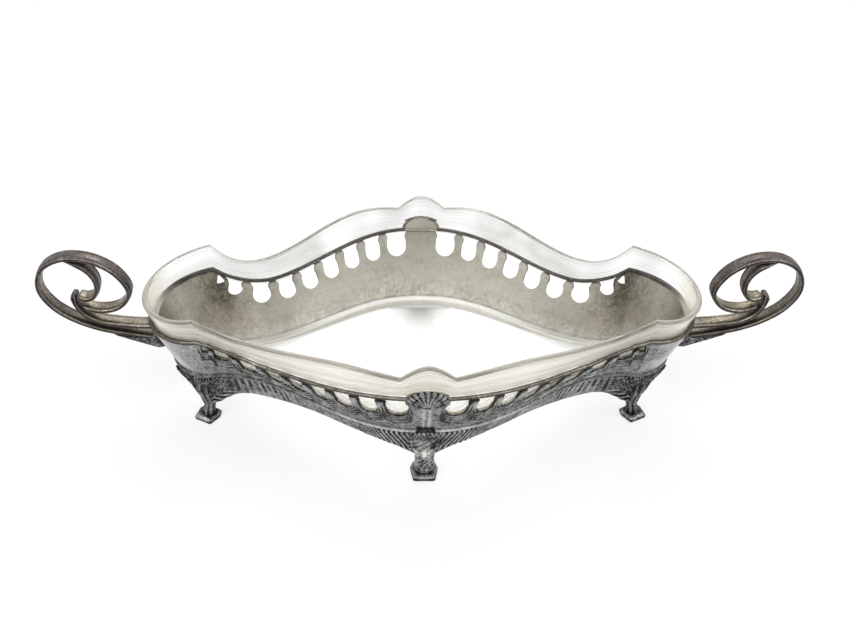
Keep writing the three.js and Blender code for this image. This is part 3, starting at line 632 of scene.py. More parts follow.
# The ridge moulding
# A low half-round moulding along the foot of the walls. It sinks to a dark recess over each middle
# foot. Its crest is lighter, from rubbing and from a painted highlight that is strongest near the
# middle of each side.
RIDGE_STANDS_OUT = 1.6
RIDGE_SINKS = 1.2
RIDGE_FRONT_POINTS = 13
RIDGE_BACK_POINTS = 3
SKIRT_LEAN = 0.38


def skirt_offset(z):
    """How far the skirt lies in at height z: a straight slant from the ridge inwards."""
    return -RIDGE_INSET - SKIRT_LEAN * (RIDGE_Z - z)


def crest_share(s):
    """How much of its full height the moulding has at s: 0 in a recess and 1 beside it."""
    return fade(from_middle(s), RECESS_WIDTH / 2 - 0.5, RECESS_WIDTH / 2 + 0.5)


def ridge_section(s):
    """A half-round front on a back that follows the wall above and the skirt below."""
    half = RIDGE_HEIGHT / 2 + GAP
    angle = np.linspace(-np.pi / 2, np.pi / 2, RIDGE_FRONT_POINTS)
    back_z = RIDGE_Z + half * np.linspace(1, -1, RIDGE_BACK_POINTS)
    z = np.concatenate([RIDGE_Z + half * np.sin(angle), back_z])[None, :] + 0 * s
    lean = np.where(z > RIDGE_Z, wall_offset(s, z), skirt_offset(z))
    share = crest_share(s)
    bulge = (RIDGE_STANDS_OUT * share - RIDGE_SINKS * (1 - share)) * np.cos(angle) ** 2
    inwards = np.full((len(s), RIDGE_BACK_POINTS), -WALL)
    return lean + np.concatenate([bulge, inwards], axis=1), z


RIDGE_TONES = {0.0: "#1f2021", 0.3: "#58595a", 0.6: "#939391", 1.0: "#d4d3cf"}
ridge_plate = silver_plate("silver plate rubbed and highlit on the moulding", RIDGE_TONES, WALL_INSIDE)
crest = bell(np.linspace(-1, 1, RIDGE_FRONT_POINTS), 0.1, 0.4)[None, :]
share = crest_share(around)[:, None]
# Painted highlight along the crest, strongest near the middle of each side, on top of rubbing.
rubbed_and_highlit = 0.62 - 0.45 * fade(from_middle(around), 50, 95)[:, None]
front_wear_and_highlight = (0.28 + rubbed_and_highlit * crest) * share + 0.16 * (1 - share)
back_wear_and_painted_light = np.full((len(around), RIDGE_BACK_POINTS), 0.64)
ridge_wear_and_highlight = np.concatenate([front_wear_and_highlight, back_wear_and_painted_light], axis=1).ravel()
section_inside = np.repeat([0.0, 1.0], [RIDGE_FRONT_POINTS, RIDGE_BACK_POINTS])
ridge_inside = np.tile(section_inside, len(around))
ridge_mesh = swept(around, ridge_section)
moulding = make_piece("ridge_moulding_all_round", *ridge_mesh, [], ridge_wear_and_highlight, ridge_inside)
nodes = ["ridge_moulding_right", "ridge_moulding_left"]
finish_piece(moulding, ridge_plate, "bright", "frame", *nodes)


# The skirt
# The lower wall of the frame, which slants in under the ridge and ends in arches between the
# feet. It is cast with feathered strokes that sweep down towards the middle feet.
SKIRT_ARCH_Z = 28.0
SKIRT_ARCH_S = 70.0
SKIRT_FALL = 52.0
SKIRT_MIDDLE_Z = 24.0
SKIRT_CORNER_Z = 20.5
SKIRT_END_Z = 24.0
SKIRT_TOP_Z = RIDGE_Z - RIDGE_HEIGHT / 2 - GAP
SKIRT_LINE_Z = 35.3
SKIRT_PAINTED_LIGHT_Z = 34.5
STROKE_PITCH = 3.5
STROKE_SWEEP = 0.45
STROKE_LENGTH = 13.0
STROKE_DEPTH = 0.7
SKIRT_EDGE_HEIGHT = 1.4
SKIRT_EDGE_DEPTH = 0.5
SWEEP_ENDS = (30, 90)
MIDDLE_STROKES_END = (40, 58)
CORNER_STROKES_START = (85, 112)
CORNER_STROKES_END = (140, 146)


def skirt_foot(s):
    """Height of the skirt's lower edge on a quarter: cosine falls from the arch's top to the middle
    and to the corner, and a short rise to the level edge of the end."""
    towards_middle = cosine_step((SKIRT_ARCH_S - s) / SKIRT_ARCH_S)
    towards_corner = cosine_step((s - SKIRT_ARCH_S) / SKIRT_FALL)
    low = np.where(s < SKIRT_ARCH_S, SKIRT_MIDDLE_Z, SKIRT_CORNER_Z)
    arch = low + (SKIRT_ARCH_Z - low) * np.where(s < SKIRT_ARCH_S, towards_middle, towards_corner)
    end = low + (SKIRT_END_Z - low) * fade(s, CORNER_S, CORNER_S + 8)
    return np.where(s < CORNER_S, arch, end)


def skirt_look(s, z):
    """Relief and wear of the skirt's outside, with painted shade in a band just under the moulding.
    Feathered strokes sweep towards the middle foot on their way down, steeper near the corner, each
    thick in its middle and thin at its ends. They are deep beside the feet and faint between them."""
    down = SKIRT_TOP_Z - z
    sweep = STROKE_SWEEP * (1 - fade(s, *SWEEP_ENDS))
    phase = 2 * np.pi * (s + sweep * down * (1 + 0.02 * down)) / STROKE_PITCH
    row = np.floor(phase / (2 * np.pi) + 0.5)
    start = 0.5 + 1.5 * np.sin(2.4 * row)
    stop = start + STROKE_LENGTH + 4.0 * np.sin(1.7 * row + 1.0)
    feather = fade(down, start - 1.5, start + 2) * (1 - fade(down, stop - 3, stop))
    cut = (0.5 + 0.5 * np.cos(phase)) ** 2 * feather
    crest = (0.5 - 0.5 * np.cos(phase)) ** 3
    middle = 1 - fade(s, *MIDDLE_STROKES_END)
    corner = 0.5 * fade(s, *CORNER_STROKES_START)
    near_feet = np.maximum(middle, corner) * (1 - fade(s, *CORNER_STROKES_END))
    strength = (0.2 + 0.8 * near_feet) * (0.75 + 0.25 * np.sin(2.9 * row))
    edge = fade(z - skirt_foot(s), 0.0, SKIRT_EDGE_HEIGHT)
    relief = -STROKE_DEPTH * cut * strength * edge - SKIRT_EDGE_DEPTH * (1 - edge) ** 2
    wear_and_painted_light = 0.36 + strength * (0.3 * crest - 0.6 * cut) * edge - 0.16 * (1 - edge)
    # Painted shade: a darker band just under the moulding.
    wear_and_painted_light -= 0.12 * (1 - fade(down, 0.0, 1.6))
    return relief, wear_and_painted_light


def skirt_quarter():
    """The slanting wall as a grid, from the ridge down to its lower edge. Its inside is painted
    lighter near the ledge, as painted light, below a thin dark line."""
    s = np.concatenate([np.linspace(0, CORNER_S, 521), np.linspace(CORNER_S, TIP_S, 161)[1:]])
    s = s[None, :] * np.ones((31, 1))
    z = SKIRT_TOP_Z + (skirt_foot(s) - SKIRT_TOP_Z) * np.linspace(0, 1, 31)[:, None]
    relief, wear_and_painted_light = skirt_look(s, z)
    offset = skirt_offset(z)
    # Painted light on the inside near the ledge, where it lies in shade.
    painted_light = fade(SKIRT_PAINTED_LIGHT_Z - z, -0.6, 0.6)
    back_wear_and_painted_light = 0.3 + 0.6 * painted_light - 0.25 * bell(z, SKIRT_LINE_Z, 0.6)
    front = beside(s, offset + relief, z)
    return make_sheet(front, beside(s, offset - WALL, z), wear_and_painted_light, back_wear_and_painted_light)


SKIRT_TONES = {0.0: "#141516", 0.2: "#474849", 0.44: "#929393", 0.7: "#babbba", 1.0: "#dededa"}
# Inside tones that rise to white, painted light for the shaded inside of the skirt.
SKIRT_INSIDE_PAINTED_LIGHT = {0.0: "#a9a498", 0.3: "#d5d1c6", 0.75: "#ffffff"}
skirt_plate = silver_plate("oxidised silver plate of the skirt", SKIRT_TONES, SKIRT_INSIDE_PAINTED_LIGHT)
quarter = skirt_quarter()
half = joined(quarter, mirrored(quarter, 1, -1))
for side, sign in (("right", 1), ("left", -1)):
    skirt = make_piece(f"skirt_{side}_half", *closed(mirrored(half, sign, 1)))
    nodes = [f"skirt_back_{side}", f"skirt_front_{side}", f"end_skirt_{side}"]
    finish_piece(skirt, skirt_plate, "patina", "frame", *nodes)


# The feet
# Six castings, each a plinth-like pad, a short leg and two ribbed leaves that spread up over the
# skirt and are soldered to it. The middle legs bulge like a paw, the corner ones are slim.
KNEE_Z = 24.0
LEAF_THICKNESS = 2.2
LEAF_TIP_THICKNESS = 0.8
LEAF_FOLD = 14.0
LEAF_RIB_PITCH = 3.6
LEAF_RIB_CLIMB = 0.35
LEAF_RIB_FALL = 0.7
LEAF_PATTERN_DEPTH = 0.75
LEAF_EDGE_HEIGHT = 1.6
LEAF_ROWS = 61
LEAF_COLUMNS = 90
MIDDLE_LEAF = (46.0, 27.0, 2.0, 0.45, 0.0)
CORNER_SIDE_LEAF = (34.0, 20.5, 0.6, 0.45, 0.0)
CORNER_END_LEAF = (22.5, 35.5, 1.1, 0.05, 2.6)
PAD_INSET = 19.3
PAD_HEIGHT = 4.0
PAD_FRONT_WIDTH = 12.0
PAD_WIDTH = 15.4
PAD_DEPTH = 13.3
PAD_CORNER_CUT = 0.14
PAD_LEVELS = ((0.93, 0), (1, 0.12), (1, 0.5), (0.93, 0.66), (0.78, 0.92), (0.62, 1))
PAD_WEAR = (0.15, 0.42, 0.12, 0.55, 0.3, 0.2)
LEG_TOP_Z = 33.0
LEG_ROWS = 61
LEG_SIDES = 80
LEG_RIB_DEPTH = 0.14
CORNER_FOOT_ANGLE = 27.0
FOOT_S = CORNER_S + END_RADIUS * (np.radians(CORNER_FOOT_ANGLE) - CORNER_ANGLE)


def leaves(foot_s, leg_z, before, after, ribbed, curls):
    """Both leaves of a foot as one sheet. Each is its reach, the height of its tip, the power of
    its lower edge, which falls from the tip to the leg, the share over which it grows out of the
    skirt, and how far its tip stands off. Ribs climb from the leg to a fold and fall behind it, or
    without them the skirt's strokes go on, and a small scale pattern covers the rest."""
    run = np.linspace(0, 1, LEAF_COLUMNS + 1)
    s = np.concatenate([foot_s - before[0] * (1 - run), foot_s + after[0] * run[1:]])[None, :]
    share = np.concatenate([run, run[-2::-1]])[None, :]
    tip_z, curve, growth, off = [np.where(s < foot_s, before[i], after[i]) for i in (1, 2, 3, 4)]
    down = np.linspace(0, 1, LEAF_ROWS)[:, None]
    low = tip_z - (tip_z - leg_z) * share**curve
    grown = fade(share, 0, growth)
    hang = np.minimum(low - skirt_foot(np.abs(s)), 0)
    low = low - hang * (1 - grown)
    z = SKIRT_TOP_Z + (low - SKIRT_TOP_Z) * down
    back = skirt_offset(z + (np.maximum(z, KNEE_Z) - z) * grown) + GAP + off * (1 - share) ** 2
    away = np.abs(s - foot_s)
    over = (1 - down) * (SKIRT_TOP_Z - low)
    climb = over - LEAF_RIB_CLIMB * np.minimum(away, LEAF_FOLD)
    climb += LEAF_RIB_FALL * np.maximum(away - LEAF_FOLD, 0)
    rib = (0.5 + 0.5 * np.cos(2 * np.pi * (climb - 1.0) / LEAF_RIB_PITCH)) ** 1.2
    if not ribbed:
        stroke = away + STROKE_SWEEP * (SKIRT_TOP_Z - z)
        rib = 1 - (0.5 + 0.5 * np.cos(2 * np.pi * stroke / STROKE_PITCH)) ** 1.5
    scale = np.sin(2.3 * (s - foot_s) + 1.2 * np.sin(1.1 * z)) * np.sin(2.1 * z + np.cos(1.7 * s))
    near = curls * (1 - fade(away, 8, 14)) * fade(z, leg_z + 6, leg_z + 12)
    near = np.maximum(near, ribbed * fade(over, 6, 9))
    spread = fade(away, 2, 7)
    lower_edge = fade(over, 0.0, LEAF_EDGE_HEIGHT)
    upper_edge = fade(down, 0.0, 0.05)
    thick = LEAF_TIP_THICKNESS + (LEAF_THICKNESS - LEAF_TIP_THICKNESS) * np.sqrt(share)
    thick = thick * grown * (0.3 + 0.7 * lower_edge * upper_edge) + 0.1
    pattern = (1 - near) * spread * (rib - 1) + near * 0.6 * (scale - 1)
    skirt_relief, skirt_wear_and_shade = skirt_look(np.abs(s), z)
    relief = LEAF_PATTERN_DEPTH * pattern * lower_edge * grown + skirt_relief * (1 - grown)
    wear_and_painted_light = 0.32 + (1 - near) * spread * (0.6 * rib - 0.35) + near * 0.32 * scale
    wear_and_painted_light += 0.2 * (1 - lower_edge) - 0.12 * (1 - spread) * (1 - near) - 0.1 * ribbed * near
    wear_and_painted_light = skirt_wear_and_shade + (wear_and_painted_light - skirt_wear_and_shade) * grown - 0.06 * off
    front = beside(s, back + thick + relief, z)
    return make_sheet(front, beside(s, back - GAP - WALL / 2, z), wear_and_painted_light, 0.4 + 0 * z)


def smooth_line(places, values, at):
    """Values between the given places, on cubic pieces whose slopes are taken from neighbours."""
    slopes = np.gradient(values, places)
    i = np.clip(np.searchsorted(places, at, side="right") - 1, 0, len(places) - 2)
    length = places[i + 1] - places[i]
    t = (at - places[i]) / length
    start = (2 * t**3 - 3 * t**2 + 1) * values[i] + (t**3 - 2 * t**2 + t) * length * slopes[i]
    end = (3 * t**2 - 2 * t**3) * values[i + 1] + (t**3 - t**2) * length * slopes[i + 1]
    return start + end


def on_foot(foot_s, out, across, z):
    """Points of a foot from their outward and sideways places and heights."""
    rim = rim_at(foot_s)
    points = beside(foot_s + 0 * z, out - PAD_INSET, z)
    points[..., 0] += across * rim["ny"]
    points[..., 1] -= across * rim["nx"]
    return points


def tube(points, turn=-1):
    """Points, faces and both end caps of a tube from a grid with one ring in each row. With turn
    at 1 the rings run the other way round."""
    rows, columns = points.shape[:2]
    first = np.arange(columns)
    last = first + (rows - 1) * columns
    faces = grid_faces(rows, columns, close_columns=True)[:, ::turn]
    return points.reshape(-1, 3), faces, [first[::-turn], last[::turn]]


def leg(foot_s, half_width, half_depth, rows, ribs, turn, painted_highlight):
    """A leg of ovals stacked along a smooth line through its rows, with ribs or small curls round
    its front. A row is height share, outward place, sideways place, width and depth. The painted
    highlight is the brightness, height share and angle of a highlight spot painted into the colour."""
    table = np.array(rows)
    up = np.linspace(table[0, 0], 1, LEG_ROWS)[:, None]
    columns = [smooth_line(table[:, 0], table[:, i], up[:, 0])[:, None] for i in (1, 2, 3, 4)]
    outward, along, wide, deep = columns
    angle = np.linspace(0, 2 * np.pi, LEG_SIDES, endpoint=False)[None, :]
    front = fade(np.sin(angle), -0.3, 0.4)
    rib = (0.5 + 0.5 * np.cos(ribs * (angle - np.radians(turn)))) ** 0.8
    middle = fade(up, 0.12, 0.22) * (1 - fade(up, 0.85, 1.0))
    swell = 1 - LEG_RIB_DEPTH * (1 - rib) * front * middle
    out = half_depth * (outward + deep * np.sin(angle) * swell)
    across = half_width * (along + wide * np.cos(angle) * swell)
    brightness, highlight_up, highlight_angle = painted_highlight
    # Painted highlight: a bright spot on the leg's front.
    highlight_spot = bell(up, highlight_up, 0.1) * bell(angle, np.radians(highlight_angle), 0.4)
    wear_and_painted_light = 0.14 + 0.3 * rib * front + brightness * highlight_spot
    wear_and_painted_light -= 0.22 * (1 - fade(up, 0.12, 0.2)) + 0.16 * fade(up, 0.72, 0.84)
    if not ribs:
        curl = np.sin(7 * angle + 3 * np.sin(14 * up)) * np.sin(34 * up + 2 * np.cos(3 * angle))
        wear_and_painted_light += 0.24 * curl
    points = on_foot(foot_s, out, across, LEG_TOP_Z * up + 0 * angle)
    return *tube(points, turn=1), wear_and_painted_light.ravel()


def pad(foot_s, size):
    """The pad: a six-sided outline with rounded corners, stacked with a bevel at top and bottom.
    A level is its share of the outline and of the height."""
    sizes = (PAD_FRONT_WIDTH, PAD_WIDTH, PAD_DEPTH)
    half_front, half_wide, half_deep = [v / 2 * size for v in sizes]
    right = [(half_front, half_deep), (half_wide, -0.3 * half_deep), (half_front, -half_deep)]
    corners = np.array([(-half_front, half_deep)] + right + [(-x, y) for x, y in right[:0:-1]])
    before = np.roll(corners, 1, axis=0)
    after = np.roll(corners, -1, axis=0)
    t = np.linspace(0, 1, 5)[None, :, None]
    start = corners[:, None] + (before - corners)[:, None] * PAD_CORNER_CUT
    end = corners[:, None] + (after - corners)[:, None] * PAD_CORNER_CUT
    rounded = (1 - t) ** 2 * start + 2 * t * (1 - t) * corners[:, None] + t**2 * end
    outline = rounded.reshape(-1, 2)
    levels = np.array(PAD_LEVELS)
    out = outline[None, :, 1] * levels[:, :1] + 10 * (size - 1)
    across = outline[None, :, 0] * levels[:, :1]
    points = on_foot(foot_s, out, across, PAD_HEIGHT * levels[:, 1:] + 0 * out)
    return *tube(points), np.repeat(PAD_WEAR, len(outline))


def stacked(*bodies):
    """The shape of several closed bodies. Each is points, faces, caps and wear with painted light.
    """
    counts = np.cumsum([0] + [len(body[0]) for body in bodies])
    points, wear_and_painted_light = [np.concatenate([body[i] for body in bodies]) for i in (0, 3)]
    faces = np.concatenate([body[1] + n for body, n in zip(bodies, counts)])
    caps = [cap + n for body, n in zip(bodies, counts) for cap in body[2]]
    return points, faces, caps, wear_and_painted_light, 0 * wear_and_painted_light


def foot(foot_s, leaf_values, leg_values, pad_size):
    """Leaves, leg and pad of one foot on the back-right quarter."""
    both_leaves = closed(leaves(foot_s, *leaf_values))[:4]
    return stacked(both_leaves, leg(foot_s, *leg_values), pad(foot_s, pad_size))


def place_mirrored(name, node, shape, sign_x, sign_y, material, sharp=35):
    """Adds a shape in its quarter as a piece in place of one solid, with its faces and caps turned
    round where one sign is negative."""
    points, faces, caps, wear_and_painted_light, inside = shape
    turn = sign_x * sign_y
    points = points * np.array([sign_x, sign_y, 1.0])
    caps = [cap[::turn] for cap in caps]
    piece = make_piece(name, points, faces[:, ::turn], caps, wear_and_painted_light, inside, sharp)
    finish_piece(piece, material, "patina", "frame", node)


MIDDLE_LEG = (
    (0.09, 0.2, 0, 0.88, 0.92),
    (0.21, 0.36, 0, 1, 1),
    (0.39, 0.4, 0, 0.98, 0.92),
    (0.55, 0.32, 0, 1.02, 0.78),
    (0.7, 0.6, 0, 1.2, 0.58),
    (0.82, 0.74, 0, 1.45, 0.45),
    (1, 0.9, 0, 1.7, 0.08),
)
CORNER_LEG = (
    (0.09, 0, -0.2, 1, 1),
    (0.24, -0.14, -0.35, 0.88, 0.9),
    (0.4, -0.3, -0.48, 0.84, 0.84),
    (0.55, 0.05, -0.5, 0.95, 0.78),
    (0.7, 0.62, -0.5, 1.15, 0.62),
    (0.82, 0.86, -0.4, 1.45, 0.52),
    (1, 1.1, 0, 1.75, 0.08),
)
FOOT_TONES = {0.0: "#121314", 0.2: "#3c3d3e", 0.42: "#7d7e7d", 0.7: "#b3b1ae", 1.0: "#ebe9e4"}
name = "oxidised silver plate of the feet"
foot_plate = silver_plate(name, FOOT_TONES, WALL_INSIDE, rough=0.38, spots_mm=1.6, depth_mm=0.25)
leaf_values = (13.0, MIDDLE_LEAF, MIDDLE_LEAF, False, 1.0)
middle_foot = foot(0.0, leaf_values, (6.1, 5.2, MIDDLE_LEG, 0, 90, (0.8, 0.66, 90)), 1.12)
leaf_values = (12.0, CORNER_SIDE_LEAF, CORNER_END_LEAF, True, 0.3)
corner_foot = foot(FOOT_S, leaf_values, (4.4, 4.2, CORNER_LEG, 7, 35, (0.4, 0.5, 35)), 1.0)
castings = (("middle", middle_foot, 1), ("right", corner_foot, 1), ("left", corner_foot, -1))
for face, sign_y in (("back", 1), ("front", -1)):
    for place, shape, sign_x in castings:
        node = f"foot_{face}_{place}"
        place_mirrored(f"{node}_casting", node, shape, sign_x, sign_y, foot_plate)


# The shell ornaments
# A cast fan at the middle of each long side, soldered over the rim. Its flutes spread from a
# small boss to a scalloped edge, a ring crosses them, and oxide lies black between them.
SHELL_WIDTH = 25.0
SHELL_RISE = 8.8
SHELL_SAG = 4.5
SHELL_THICKNESS = 3.0
SHELL_LEAN = 0.08
SHELL_BACK_SLOPE = 0.42
SHELL_LOBES = 26
SHELL_GRID = 91
SCALLOP_DEPTH = 0.07
FLUTE_DEPTH = 0.9
SHELL_RING = 0.64
SHELL_RING_DEPTH = 0.5
BOSS_DOWN = 2.4
BOSS_DOT = 1.1
BOSS_STANDS = 0.8


def shell():
    """A square grid pressed into a disc, stretched to the fan's outline, domed and fluted. Above
    the rim wire its back comes forward, and is flush with the wall's inside."""
    u, v = np.meshgrid(*[np.linspace(-1, 1, SHELL_GRID)] * 2)
    disc_x = u * np.sqrt(1 - v**2 / 2)
    disc_y = v * np.sqrt(1 - u**2 / 2)
    radius = np.hypot(disc_x, disc_y)
    reach = np.where(disc_y >= 0, SHELL_RISE, SHELL_SAG)
    fan = np.arctan2(disc_y + 0.35, disc_x)
    lobe = np.abs(np.sin(SHELL_LOBES * fan / 2)) ** 0.7
    scallop = 1 - SCALLOP_DEPTH * (1 - lobe) * radius**6
    across = SHELL_WIDTH / 2 * scallop * disc_x
    up = reach * scallop * disc_y
    from_boss = np.hypot(across, up + BOSS_DOWN)
    spread = fade(from_boss, 2.2, 4.5)
    flute = 1 - spread * (1 - lobe)
    ring = bell(radius, SHELL_RING, 0.05) * (disc_y > -0.3)
    dots = bell(np.abs(across), BOSS_DOT, 0.7) * bell(up, -BOSS_DOWN, 0.9)
    edge = np.clip((radius - 0.9) / 0.1, 0, 1)
    dome = SHELL_THICKNESS * (0.4 + 0.6 * np.sqrt(np.clip(1 - radius**2.6, 0, 1)))
    relief = FLUTE_DEPTH * (flute - 1) - SHELL_RING_DEPTH * ring + BOSS_STANDS * dots
    z = rim_at(0.0)["z"] + up
    back = -WALL / 2 + WIRE_RADIUS + GAP + SHELL_LEAN * np.clip(up, 0, None)
    slope = -WALL + SHELL_BACK_SLOPE * (up - WIRE_HALF_HEIGHT)
    over_wire = np.where(up > WIRE_HALF_HEIGHT, slope, back)
    front = beside(0 * z, back + dome + relief, z)
    rear = beside(0 * z, np.minimum(back, over_wire), z)
    front[..., 0] += across
    rear[..., 0] += across
    lower = fade(-up, 1.5, 3.5)
    wear_and_painted_light = 0.02 + 0.5 * flute - 0.3 * ring - 0.5 * dots - 0.15 * edge - 0.3 * lower * edge
    # The shell's back is painted near white as painted light, darker towards its edge.
    return make_sheet(front, rear, wear_and_painted_light, 0.95 - 0.7 * fade(radius, 0.84, 0.96))


name = "oxidised silver plate of the shells"
shell_plate = silver_plate(name, FOOT_TONES, UNDER_GLASS_PAINTED_LIGHT, rough=0.38, spots_mm=1.6)
fan_sheet = shell()
for face, sign in (("back", 1), ("front", -1)):
    fan = make_piece(f"shell_{face}_fan", *closed(mirrored(fan_sheet, 1, sign)))
    finish_piece(fan, shell_plate, "patina", "frame", f"shell_{face}")


# The handles
# Each is a whiplash loop, an upper strand and an inner volute, cast as reeded straps and soldered
# to a stippled root on the end wall. The outer sides are grey-brown; the inner faces are warmer,
# and painted lighter where light falls on them and darker where they lie in shade.
STRAP_WIDTH = 9.6
STRAP_THICKNESS = 3.0
STRAP_SIDES = 48
GROOVE_AT = 0.66
GROOVE_DEPTH_OUTSIDE = 0.5
GROOVE_DEPTH_INSIDE = 0.22
SIDE_GROOVE_DEPTH = 0.08
RAIL_AT = 0.88
LOOP_KNOTS = (
    (-1, 57), (3.3, 57.6), (16, 60), (32.5, 64.4), (46, 71.2),
    (56.4, 80.7), (62, 94.6), (57.5, 108.8), (45.4, 116.2), (28.3, 115.1),
    (14, 104.6), (9.4, 91), (17.6, 80.4), (29.5, 78), (39.2, 81),
)
STRAND_KNOTS = ((-3.3, 65.6), (8, 66), (20, 67.2), (31.3, 69.8), (39.2, 75.8), (42.4, 83), (43, 90))
VOLUTE_KNOTS = (
    (44, 115.1), (39, 113.3), (34.6, 111.3), (30.8, 107.6), (28.2, 102.8),
    (27.4, 97), (28.6, 91.6), (32, 87.8), (36, 86.9), (40, 88.4),
)
ROOT_WIDTH = 10.4
ROOT_ROWS = 15
ROOT_PULL = 0.16
ROOT_WEAR = 0.3
ROOT_OUTLINE = ((-8.7, 50), (-4.7, 61.5), (2.4, 57.4), (16, 58.6), (24, 60.2), (14, 56), (-3.5, 49))


def round_end(distance, length):
    """The share of full thickness at a distance from a strap's end: a quarter circle."""
    return np.sqrt(np.clip(1 - (1 - np.clip(distance / length, 0, 1)) ** 2, 0.02, 1))


def strap(knots, steps, start_slope, end_round, end_swell, inner_painted_light):
    """A reeded strap along a smooth line through its knots, which run round the curl with the inner
    face on their left. The section is rounded, with a rail at each edge and a groove beside it.
    Over its start slope the strap grows inwards from nothing, and its end is rounded off. The two
    inner painted light levels say how light the inner face is painted at the start and at the end,
    as light and shade fall on it."""
    table = np.array(knots, float)
    chords = np.concatenate([[0], np.cumsum(np.hypot(*np.diff(table, axis=0).T))])
    length = chords[-1]
    at = np.linspace(0, length, steps)
    x, z = [smooth_line(chords, table[:, i], at) for i in (0, 1)]
    dx, dz = np.gradient(x), np.gradient(z)
    norm = np.hypot(dx, dz)
    side = np.stack([-dz / norm, dx / norm], axis=1)
    grown = np.clip(at / start_slope, 0.05, 1)
    rounded = round_end(length - at, end_round)
    swell = 1 + end_swell * bell(length - at, end_round, 1.1 * end_round)
    angle = np.linspace(0, 2 * np.pi, STRAP_SIDES, endpoint=False)
    across = squared(np.cos(angle), 0.45)
    thick = squared(np.sin(angle), 0.6)
    groove = bell(np.abs(across), GROOVE_AT, 0.1)
    side_groove = bell(thick, 0, 0.25) * (np.abs(across) > 0.9)
    rail = bell(np.abs(across), RAIL_AT, 0.12)
    face = np.abs(thick) > 0.6
    outer = thick < 0
    depth = np.where(outer, GROOVE_DEPTH_OUTSIDE, GROOVE_DEPTH_INSIDE) * groove * face
    y = STRAP_WIDTH / 2 * across * (1 - SIDE_GROOVE_DEPTH * side_groove)
    out = STRAP_THICKNESS / 2 * thick * (1 - depth)
    thickness = (grown * rounded * swell)[:, None] * out[None, :]
    thickness -= STRAP_THICKNESS / 2 * (1 - grown)[:, None]
    points = np.zeros((steps, STRAP_SIDES, 3))
    points[..., 0] = END_X + x[:, None] + side[:, :1] * thickness
    points[..., 1] = y[None, :] * (0.4 + 0.6 * rounded)[:, None]
    points[..., 2] = z[:, None] + side[:, 1:] * thickness
    wear_and_painted_light = np.tile(0.5 - 0.3 * groove * face - 0.5 * side_groove + 0.12 * rail, steps)
    # Painted light and shade on the inner face, changing along the strap.
    inner_painted_light_share = inner_painted_light[0] + (inner_painted_light[1] - inner_painted_light[0]) * fade(at / length, 0.62, 0.8)
    inside = (inner_painted_light_share[:, None] * (~outer & face)).ravel()
    return *tube(points), wear_and_painted_light, inside


def root():
    """The bracket: its outline swept across the handle, pulled in a little near both sides."""
    outline = np.array(ROOT_OUTLINE)
    after = np.roll(outline, -1, axis=0)
    t = np.linspace(0, 1, 6, endpoint=False)[None, :, None]
    dense = (outline[:, None] + (after - outline)[:, None] * t).reshape(-1, 2)
    centre = dense.mean(axis=0)
    rows = np.linspace(-1, 1, ROOT_ROWS)
    shrink = (1 - ROOT_PULL * np.abs(rows) ** 6)[:, None]
    points = np.zeros((ROOT_ROWS, len(dense), 3))
    points[..., 0] = END_X + centre[0] + (dense[None, :, 0] - centre[0]) * shrink
    points[..., 1] = ROOT_WIDTH / 2 * rows[:, None]
    points[..., 2] = centre[1] + (dense[None, :, 1] - centre[1]) * shrink
    wear_and_painted_light = np.full(points[..., 0].size, ROOT_WEAR)
    return *tube(points), wear_and_painted_light, 0 * wear_and_painted_light


HANDLE_OUTSIDE = {0.0: "#191716", 0.25: "#443f3c", 0.55: "#645d59", 0.8: "#87807b", 1.0: "#bdb7b0"}
# Warmer inside tones, lighter as painted light.
HANDLE_INSIDE_LIT = {0.0: "#322d28", 0.25: "#625c50", 0.55: "#8c8575", 1.0: "#bcb5a5"}
name = "handled silver plate of the straps"
handle_plate = silver_plate(name, HANDLE_OUTSIDE, HANDLE_INSIDE_LIT, rough=0.36, spots_mm=1.5)
straps = {
    "loop": strap(LOOP_KNOTS, 260, 1.0, 5.0, 0.0, (0.35, 1.0)),
    "strand": strap(STRAND_KNOTS, 130, 1.0, 2.4, 0.3, (0.8, 0.0)),
    "volute": strap(VOLUTE_KNOTS, 120, 9.0, 2.0, 0.0, (0.3, 1.0)),
}
for side, sign in (("right", 1), ("left", -1)):
    for part, shape in straps.items():
        node = f"handle_{part}_{side}"
        place_mirrored(f"{node}_strap", node, shape, sign, 1, handle_plate, sharp=50)
    node = f"handle_root_{side}"
    place_mirrored(f"{node}_bracket", node, root(), sign, 1, foot_plate)


# The liner ledges
# Two narrow strips of plated sheet soldered inside the skirt, on which the liner stands. They
# lie under the glass, so their solids stay and are only painted near white, as painted light.
# Near-white tones, painted light, so the ledges show as bright as the floor through the glass.
LEDGE_PAINTED_LIGHT_TONES = {0.0: "#eceae4", 0.5: "#ffffff"}
ledge_plate = silver_plate("plain silver plate of the ledges", LEDGE_PAINTED_LIGHT_TONES, LEDGE_PAINTED_LIGHT_TONES)
for side in ("right", "left"):
    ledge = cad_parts[f"liner_ledge_{side}"]
    ledge.data.materials.clear()
    ledge.data.materials.append(ledge_plate)


